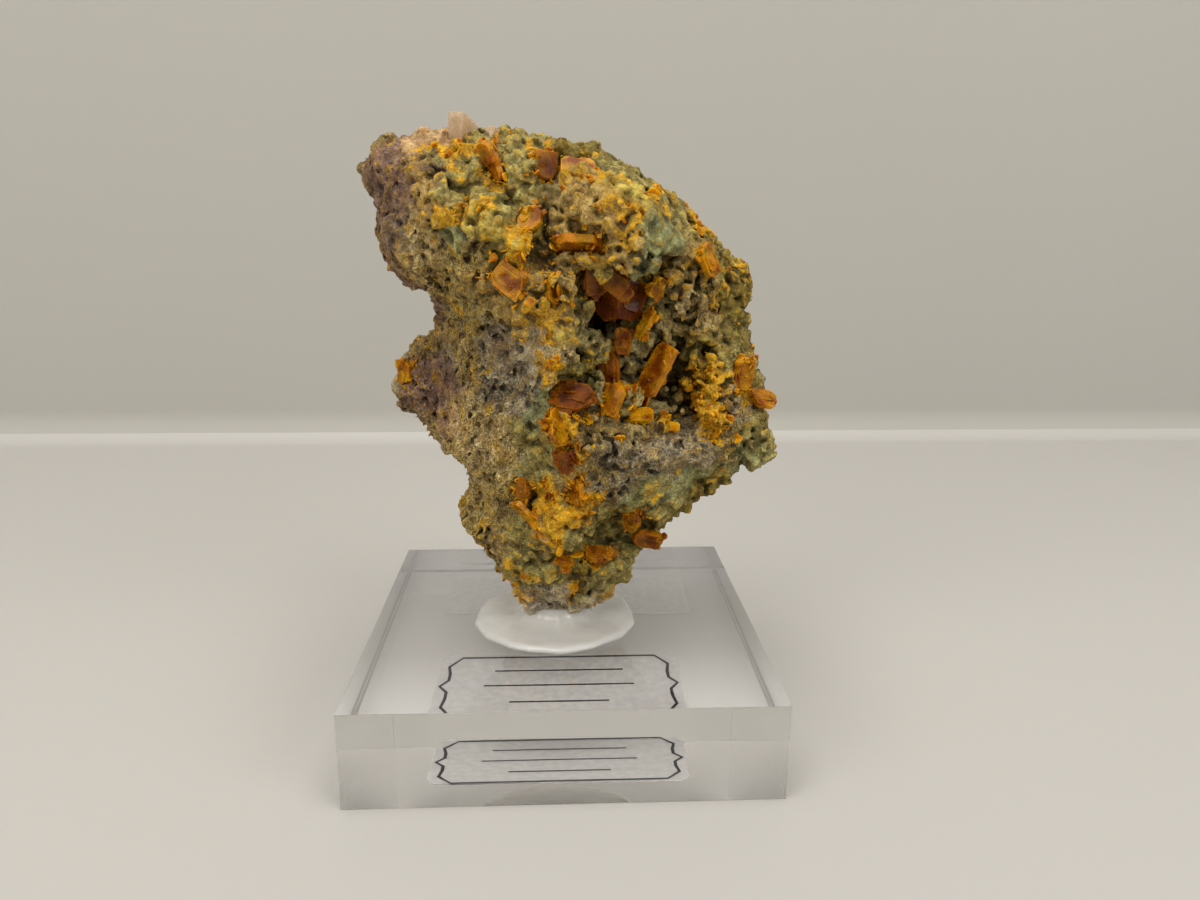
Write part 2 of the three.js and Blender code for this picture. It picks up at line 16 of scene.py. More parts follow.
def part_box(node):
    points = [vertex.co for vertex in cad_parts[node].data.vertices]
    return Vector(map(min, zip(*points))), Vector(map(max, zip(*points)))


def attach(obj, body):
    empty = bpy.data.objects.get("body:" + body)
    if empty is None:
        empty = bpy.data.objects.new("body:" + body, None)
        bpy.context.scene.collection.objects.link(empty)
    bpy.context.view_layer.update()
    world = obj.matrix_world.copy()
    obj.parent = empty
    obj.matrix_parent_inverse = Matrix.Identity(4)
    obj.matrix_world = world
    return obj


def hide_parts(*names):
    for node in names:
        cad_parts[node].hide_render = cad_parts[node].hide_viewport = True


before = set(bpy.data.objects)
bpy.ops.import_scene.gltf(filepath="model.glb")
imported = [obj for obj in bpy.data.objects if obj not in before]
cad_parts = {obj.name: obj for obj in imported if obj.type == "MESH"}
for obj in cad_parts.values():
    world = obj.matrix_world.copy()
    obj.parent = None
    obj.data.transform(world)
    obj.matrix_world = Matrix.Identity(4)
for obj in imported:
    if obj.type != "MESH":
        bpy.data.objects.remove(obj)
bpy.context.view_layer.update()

MM = 0.001
ROOT = "root"


# ---------------------------------------------------------------- camera

PHOTO_WIDTH = 1200
PHOTO_HEIGHT = 900
SENSOR_WIDTH = 36.0
FOCAL_PIXELS = 880.4
CAMERA_PLACE = Vector((-0.74, -112.90, 64.19))
CAMERA_PITCH = math.radians(14.32)
CAMERA_YAW = math.radians(2.84)
CAMERA_ROLL = math.radians(0.38)


def camera_axes():
    """The camera's right, up and forward directions."""
    forward = Vector((
        math.sin(CAMERA_YAW) * math.cos(CAMERA_PITCH),
        math.cos(CAMERA_YAW) * math.cos(CAMERA_PITCH),
        -math.sin(CAMERA_PITCH),
    ))
    level = Vector((math.cos(CAMERA_YAW), -math.sin(CAMERA_YAW), 0))
    upright = level.cross(forward)
    right = level * math.cos(CAMERA_ROLL) + upright * math.sin(CAMERA_ROLL)
    up = upright * math.cos(CAMERA_ROLL) - level * math.sin(CAMERA_ROLL)
    return right, up, forward


def add_camera():
    right, up, forward = camera_axes()
    data = bpy.data.cameras.new("camera")
    data.sensor_width = SENSOR_WIDTH
    data.lens = FOCAL_PIXELS / PHOTO_WIDTH * SENSOR_WIDTH
    data.clip_start = 1 * MM
    camera = bpy.data.objects.new("camera", data)
    place = Matrix((right, up, -forward)).transposed().to_4x4()
    place.translation = CAMERA_PLACE * MM
    camera.matrix_world = place
    bpy.context.scene.collection.objects.link(camera)
    bpy.context.scene.camera = camera


def pixel_ray(px, py):
    """The direction in which a pixel of the 1200 x 900 picture looks."""
    right, up, forward = camera_axes()
    across = (px - PHOTO_WIDTH / 2) / FOCAL_PIXELS
    down = (py - PHOTO_HEIGHT / 2) / FOCAL_PIXELS
    return (forward + right * across - up * down).normalized()


# ---------------------------------------------------------------- meshes

def link_object(name, mesh, material):
    mesh.materials.append(material)
    obj = bpy.data.objects.new(name, mesh)
    bpy.context.scene.collection.objects.link(obj)
    return obj


def new_object(name, verts_mm, faces, material, smooth=True):
    """A mesh object from points in millimetres and faces of any one size, as arrays or lists."""
    mesh = bpy.data.meshes.new(name)
    points = np.asarray(verts_mm, np.float32) * MM
    faces = np.asarray(faces, np.int32)
    count, corners = faces.shape
    mesh.vertices.add(len(points))
    mesh.vertices.foreach_set("co", points.ravel())
    mesh.loops.add(count * corners)
    mesh.loops.foreach_set("vertex_index", faces.ravel())
    mesh.polygons.add(count)
    mesh.polygons.foreach_set("loop_start", np.arange(0, count * corners, corners, dtype=np.int32))
    mesh.update(calc_edges=True)
    mesh.validate()
    mesh.polygons.foreach_set("use_smooth", np.full(count, smooth))
    return link_object(name, mesh, material)


def add_values(obj, values):
    """Numbers for a mesh's points, one or one each, which its material reads by name."""
    for name, numbers in values.items():
        layer = obj.data.attributes.new(name, "FLOAT", "POINT")
        layer.data.foreach_set("value", np.full(len(obj.data.vertices), numbers, np.float32))


def mesh_arrays(node):
    """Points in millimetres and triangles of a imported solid."""
    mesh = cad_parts[node].data
    points = np.empty(len(mesh.vertices) * 3, np.float32)
    mesh.vertices.foreach_get("co", points)
    mesh.calc_loop_triangles()
    corners = np.empty(len(mesh.loop_triangles) * 3, np.int32)
    mesh.loop_triangles.foreach_get("vertices", corners)
    return points.reshape(-1, 3) / MM, corners.reshape(-1, 3)


def joined(parts):
    """Several meshes as one. Each part is points, triangles, and then more values for its points."""
    starts = np.cumsum([0] + [len(part[0]) for part in parts])
    moved = [(part[0], part[1] + start, *part[2:]) for part, start in zip(parts, starts)]
    return [np.concatenate(column) for column in zip(*moved)]


def band_triangles(rings, around):
    """Triangles between rings that have the same number of points, one ring after another."""
    triangles = []
    for start in range(0, (rings - 1) * around, around):
        for i in range(around):
            a, b = start + i, start + (i + 1) % around
            triangles += [(a, a + around, b), (b, a + around, b + around)]
    return triangles


def closed_rings(rings, first_middle, last_middle):
    """Points and triangles of a solid made of rings, closed by a fan at the first and the last."""
    around = len(rings[0])
    points = np.concatenate(rings + [np.array([first_middle, last_middle])])
    triangles = band_triangles(len(rings), around)
    first, last, start = len(points) - 2, len(points) - 1, (len(rings) - 1) * around
    for i in range(around):
        after = (i + 1) % around
        triangles += [(first, i, after), (last, start + after, start + i)]
    return points, np.array(triangles)


# ---------------------------------------------------------------- materials

def srgb(code):
    """Linear colour of a six-digit hex code."""
    parts = [int(code[i:i + 2], 16) / 255 for i in (0, 2, 4)]
    return tuple(c / 12.92 if c <= 0.04045 else ((c + 0.055) / 1.055) ** 2.4 for c in parts) + (1.0,)


class Look:
    """A material with short ways to add nodes. Each value is a number, a colour or a node's output."""

    def __init__(self, name):
        self.material = bpy.data.materials.new(name)
        self.material.use_nodes = True
        self.tree = self.material.node_tree
        self.shader = self.tree.nodes["Principled BSDF"]
        self.place = self.node("TexCoord")["Object"]

    def feed(self, sockets, values):
        for name, value in values.items():
            if isinstance(value, bpy.types.NodeSocket):
                self.tree.links.new(value, sockets[name])
            else:
                sockets[name].default_value = value

    def node(self, kind, values=None, **settings):
        """The outputs of a new node."""
        node = self.tree.nodes.new("ShaderNode" + kind)
        for name, setting in settings.items():
            setattr(node, name, setting)
        self.feed(node.inputs, values or {})
        return node.outputs

    def surface(self, values):
        """Sets the shader's own sockets by name, and hands over the material."""
        self.feed(self.shader.inputs, values)
        return self.material

    def noise(self, scale, detail=2.0):
        return self.node("TexNoise", {"Vector": self.place, "Scale": scale, "Detail": detail})["Fac"]

    def fit(self, value, from_low, from_high, to_low, to_high):
        """A value carried from one range to another, and held inside it."""
        ranges = {"From Min": from_low, "From Max": from_high, "To Min": to_low, "To Max": to_high}
        return self.node("MapRange", {"Value": value, **ranges})["Result"]

    def math(self, operation, first, second):
        return self.node("Math", {0: first, 1: second}, operation=operation)[0]

    def mix(self, factor, first, second, blend="MIX"):
        values = {"Factor": factor, "A": first, "B": second}
        return self.node("Mix", values, data_type="RGBA", blend_type=blend)["Result"]

    def times(self, colour, other):
        return self.mix(1.0, colour, other, "MULTIPLY")

    def bump(self, height, distance, strength, normal=None):
        values = {"Height": height, "Distance": distance * MM, "Strength": strength}
        if normal:
            values["Normal"] = normal
        return self.node("Bump", values)["Normal"]

    def value(self, name):
        """A number that the mesh holds for each point."""
        return self.node("Attribute", attribute_name=name)["Fac"]


# ---------------------------------------------------------------- stage and light

WALL_Y = 154.0
STAGE_HALF_WIDTH = 900.0
STAGE_FRONT_Y = -700.0
WALL_HEIGHT = 420.0
COVE_RADIUS = 9.0
COVE_STEPS = 8
SHEET_HALF_SIDE = 25.0
SHEET_LEVEL = 0.03
SHEET_FADE = (-25.0, -2.0)  # the painted shade on the sheet under the block deepens between these y
# Colours of the painted light at the front and the painted shade further under the block.
SHEET_LIGHT_AND_SHADE_TINTS = ("FBF9F5", "D6D3CD")
STAGE_LOOKS = {"floor": ("B8B5AF", 0.5), "backdrop": ("AAA79F", 0.9)}  # colour and roughness
STAGE_MOTTLE = 0.96  # the stage's darker patches, as a share of its colour
WORLD_COLOUR = (1.0, 0.98, 0.95, 1)
WORLD_STRENGTH = 0.42
WARM_LIGHT = (1.0, 0.975, 0.94)
PALE_LIGHT = (1.0, 0.985, 0.965)
# Name, place, what it aims at, width, height, watts and colour.
LIGHTS = (
    ("ceiling", (-20, -150, 600), (0, 30, 0), 560, 460, 3.0, WARM_LIGHT),
    ("window", (-420, -380, 300), (0, 0, 35), 380, 300, 1.25, WARM_LIGHT),
    ("lamp", (420, -380, 300), (0, 0, 35), 380, 300, 1.25, PALE_LIGHT),
)


def stage_material(name, colour, roughness):
    look = Look(name)
    pale = srgb(colour)
    darker = tuple(STAGE_MOTTLE * c for c in pale[:3]) + (1.0,)
    return look.surface({"Base Color": look.mix(look.noise(9.0, 3.0), pale, darker), "Roughness": roughness})


def painted_light_sheet_material():
    """The floor below the clear block, with painted light and shade: paler towards the front, where light
    gets in under it, and darker further in.
    """
    look = Look("painted_light_under_block")
    front, back = (y * MM for y in SHEET_FADE)
    tone = look.fit(look.node("SeparateXYZ", {"Vector": look.place})["Y"], front, back, 0.0, 1.0)
    return look.surface({"Base Color": look.mix(tone, *map(srgb, SHEET_LIGHT_AND_SHADE_TINTS))})


def add_stage():
    arc = [math.pi / 2 * i / COVE_STEPS for i in range(COVE_STEPS + 1)]
    cove = [(WALL_Y - COVE_RADIUS * (1 - math.sin(a)), COVE_RADIUS * (1 - math.cos(a))) for a in arc]
    profiles = {
        "floor": [(STAGE_FRONT_Y, 0.0)] + cove[:COVE_STEPS // 2 + 1],
        "backdrop": cove[COVE_STEPS // 2:] + [(WALL_Y, WALL_HEIGHT)],
    }
    for name, profile in profiles.items():
        verts = [(x, y, z) for y, z in profile for x in (-STAGE_HALF_WIDTH, STAGE_HALF_WIDTH)]
        faces = [(2 * i, 2 * i + 1, 2 * i + 3, 2 * i + 2) for i in range(len(profile) - 1)]
        new_object(name, verts, faces, stage_material(name, *STAGE_LOOKS[name]))
    side, level = SHEET_HALF_SIDE, SHEET_LEVEL
    corners = [(-side, -side, level), (side, -side, level), (side, side, level), (-side, side, level)]
    new_object("painted_light_under_block", corners, [(0, 1, 2, 3)], painted_light_sheet_material())


def add_area_light(name, place_mm, aim_mm, width_mm, height_mm, watts, colour):
    data = bpy.data.lights.new(name, "AREA")
    data.shape = "RECTANGLE"
    data.size = width_mm * MM
    data.size_y = height_mm * MM
    data.energy = watts
    data.color = colour
    light = bpy.data.objects.new(name, data)
    light.location = Vector(place_mm) * MM
    light.rotation_euler = (Vector(aim_mm) - Vector(place_mm)).to_track_quat("-Z", "Y").to_euler()
    bpy.context.scene.collection.objects.link(light)


def add_light():
    world = bpy.data.worlds.new("room")
    world.use_nodes = True
    background = world.node_tree.nodes["Background"]
    background.inputs["Color"].default_value = WORLD_COLOUR
    background.inputs["Strength"].default_value = WORLD_STRENGTH
    bpy.context.scene.world = world
    for light in LIGHTS:
        add_area_light(*light)
    view = bpy.context.scene.view_settings
    view.view_transform = "Standard"
    view.look = "None"


# ---------------------------------------------------------------- clear block

BLOCK_FOOT = 0.1  # the films under the block hold it this far off the floor
BLOCK_EDGE = 0.02
FILM_BOTTOM = 0.13
FILM_TOP = 0.16
PRINT_LEVEL = 0.18  # height of the films' ink, just inside the block
INK_THICKNESS = 0.012
ACRYLIC_TINT = (0.985, 0.985, 0.99, 1)
FILM_TINT = "FDFBF7"
INK_TINTS = ("17181C", "34363C")


def acrylic_material():
    look = Look("clear_acrylic")
    return look.surface({
        "Base Color": ACRYLIC_TINT, "Transmission Weight": 1.0, "IOR": 1.49,
        "Roughness": look.fit(look.noise(260.0, 6.0), 0.35, 0.75, 0.0, 0.03)})


def add_block():
    low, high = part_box("acrylic_base")
    low.z = BLOCK_FOOT * MM
    block = bmesh.new()
    bmesh.ops.create_cube(block, size=1.0)
    bmesh.ops.scale(block, vec=high - low, verts=block.verts)
    bmesh.ops.translate(block, vec=(low + high) / 2, verts=block.verts)
    bmesh.ops.bevel(
        block, geom=block.edges[:], offset=BLOCK_EDGE * MM, segments=2, profile=0.5, affect="EDGES")
    mesh = bpy.data.meshes.new("clear_block")
    block.to_mesh(mesh)
    block.free()
    obj = link_object("clear_block", mesh, acrylic_material())
    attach(obj, ROOT)
    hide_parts("acrylic_base")


# ---------------------------------------------------------------- films under the block

FRAME_HALF_LENGTH = 12.9
FRAME_HALF_WIDTH = 7.1
# From the printed frame's corner to the middle of its end, which is shaped like a brace.
FRAME_END = [(14.5, 4.8), (14.2, 3.0), (14.2, 1.4), (15.2, 0.0)]
FRAME_LINE = 0.42
RULES = ((3.6, 8.4), (0.0, 9.6), (-3.8, 6.2))  # place across the film and half length of each line
RULE_LINE = 0.3


def film_frame(node):
    """Centre and the two directions of a film, in millimetres, from its solid."""
    points, _ = mesh_arrays(node)
    centre = (points.min(0) + points.max(0)) / 2
    _, _, axes = np.linalg.svd(points[:, :2] - centre[:2], full_matrices=False)
    length = axes[0] * np.sign(axes[0][0])
    return centre, Vector((*length, 0)), Vector((-length[1], length[0], 0))


def ribbon(path, width, closed):
    """Points and quads of a flat band along a path in the plane."""
    path = [Vector(p) for p in path]
    count = len(path)
    left, right = [], []
    for i, point in enumerate(path):
        before = path[i - 1] if closed or i > 0 else point
        after = path[(i + 1) % count] if closed or i + 1 < count else point
        along = (after - before).normalized()
        side = Vector((-along.y, along.x)) * width / 2
        left.append(point + side)
        right.append(point - side)
    steps = count if closed else count - 1
    quads = [(i, (i + 1) % count, count + (i + 1) % count, count + i) for i in range(steps)]
    return left + right, quads


def ink_object(name, strips, node, material):
    """Closed, very thin bands of ink lying in a film's plane."""
    centre, length, width = film_frame(node)
    verts, faces = [], []
    for path, line, closed in strips:
        flat, quads = ribbon(path, line, closed)
        start, count = len(verts), len(flat)
        for level in (PRINT_LEVEL, PRINT_LEVEL + INK_THICKNESS):
            for p in flat:
                spot = length * p.x + width * p.y
                verts.append((centre[0] + spot.x, centre[1] + spot.y, level))
        corners = []
        for a, b, c, d in quads:
            corners += [
                (b, c, d, a), (d + count, c + count, b + count, a + count),
                (a, b, b + count, a + count), (c, d, d + count, c + count)]
        if not closed:
            half = count // 2
            corners += [(b, a, a + count, b + count) for a, b in ((0, half), (2 * half - 1, half - 1))]
        faces += [[start + corner for corner in face] for face in corners]
    obj = new_object(name, verts, faces, material, smooth=False)
    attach(obj, ROOT)


def ink_material():
    look = Look("printed_ink")
    tone = look.mix(look.noise(2600.0), *map(srgb, INK_TINTS))
    return look.surface({"Base Color": tone, "Roughness": 0.7})


def film_material():
    look = Look("clear_film")
    cover = look.fit(look.noise(900.0, 4.0), 0.35, 0.7, 0.44, 0.5)
    return look.surface({"Base Color": srgb(FILM_TINT), "Roughness": 0.35, "Alpha": cover})


def frame_outline():
    corner = [(FRAME_HALF_LENGTH, FRAME_HALF_WIDTH)] + FRAME_END
    right = corner + [(x, -y) for x, y in corner[-2::-1]]
    return right + [(-x, -y) for x, y in right]


def add_film(node, material):
    """A film as a thin plate with its lower face stuck inside the block's underside."""
    points, triangles = mesh_arrays(node)
    middle = (points[:, 2].min() + points[:, 2].max()) / 2
    points[:, 2] = np.where(points[:, 2] > middle, FILM_TOP, FILM_BOTTOM)
    obj = new_object(node + "_film", points, triangles, material, smooth=False)
    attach(obj, ROOT)
    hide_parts(node)


def add_films():
    ink = ink_material()
    film = film_material()
    for node in ("front_label", "rear_label"):
        add_film(node, film)
    ink_object("film_border_print", [(frame_outline(), FRAME_LINE, True)], "front_label", ink)
    rules = [([(-half, row), (half, row)], RULE_LINE, False) for row, half in RULES]
    ink_object("film_ruled_lines", rules, "front_label", ink)


# ---------------------------------------------------------------- rock: kinds of crust

# Each kind of crust: its tint; how easily it is stained ochre; how high its net of walls and its grain
# stand and how deep its pits and cracks go, in millimetres; its shares of specks, lumps, small cells and
# small domes; how far all of it stands out; and its beads: share, smallest and largest radius.
Kind = namedtuple(
    "Kind", "tint stain net grain pits cracks specks lumps cells domes rise beads",
    defaults=(0.0, 0.0, 0.0, (0.0, 0.3, 0.3)))
KINDS = {
    "broken": Kind("B49E60", -0.75, 0.75, 0.14, 0.65, 0.3, 0.3, 0.15, cells=0.9),
    "net": Kind("DAC288", -0.85, 0.85, 0.12, 0.6, 0.2, 0.3, 0.08, cells=1.0),
    "brown": Kind("A6905C", -0.8, 0.5, 0.18, 0.6, 0.3, 0.35, 0.2, cells=0.7),
    "purple": Kind("8C7060", -0.8, 0.28, 0.2, 0.5, 0.2, 0.2, 0.15, cells=0.6),
    "lavender": Kind("A4987C", -0.85, 0.42, 0.12, 0.7, 0.3, 0.25, 0.1, cells=0.8),
    "white": Kind("B6AA8A", -0.8, 0.2, 0.08, 0.3, 0.2, 0.15, 0.3, cells=0.3),
    "pink": Kind("D2AE82", -0.7, 0.12, 0.09, 0.1, 0.1, 0.3, 0.5, cells=0.1),
    "cream": Kind("BC9E5A", -0.2, 0.32, 0.13, 0.5, 0.3, 0.5, 0.5, 0.4, 0.15, 0.25, (0.5, 0.35, 0.7)),
    "sage": Kind("A69A58", -0.55, 0.1, 0.05, 0.2, 0.7, 0.3, 1.3, domes=1.0, beads=(1.2, 0.38, 0.75)),
    "olive": Kind("8C7C34", -0.4, 0.12, 0.06, 0.3, 0.8, 0.3, 1.3, domes=1.0, beads=(1.2, 0.36, 0.7)),
    "coral": Kind("AC9E66", -0.75, 0.15, 0.06, 0.5, 0.9, 0.06, 1.4, domes=1.0, beads=(1.3, 0.32, 0.6)),
    "pale": Kind("BCA84E", -0.2, 0.08, 0.06, 0.1, 0.3, 0.3, 1.0, 0.0, 0.5, 0.4, (0.5, 0.4, 0.8)),
    "sea": Kind("8E9060", -0.4, 0.12, 0.08, 0.3, 0.2, 0.2, 0.25, 0.15, 0.3, 0.0, (0.2, 0.3, 0.6)),
    "ochre": Kind("A47A14", 0.8, 0.15, 0.09, 0.2, 0.3, 0.4, 1.0, 0.0, 0.6, 0.25, (0.6, 0.3, 0.6)),
    "rust": Kind("7E5A24", -0.25, 0.15, 0.09, 0.2, 0.3, 0.3, 0.6, domes=0.3),
    # The hollow kind's dark tint is painted shade in the hollows; it also sinks the crust.
    "hollow": Kind("3E2A0E", -0.6, 0.15, 0.1, 0.3, 0.3, 0.1, 0.3, cells=0.3, rise=-1.2),
}
KIND_NAMES = list(KINDS)

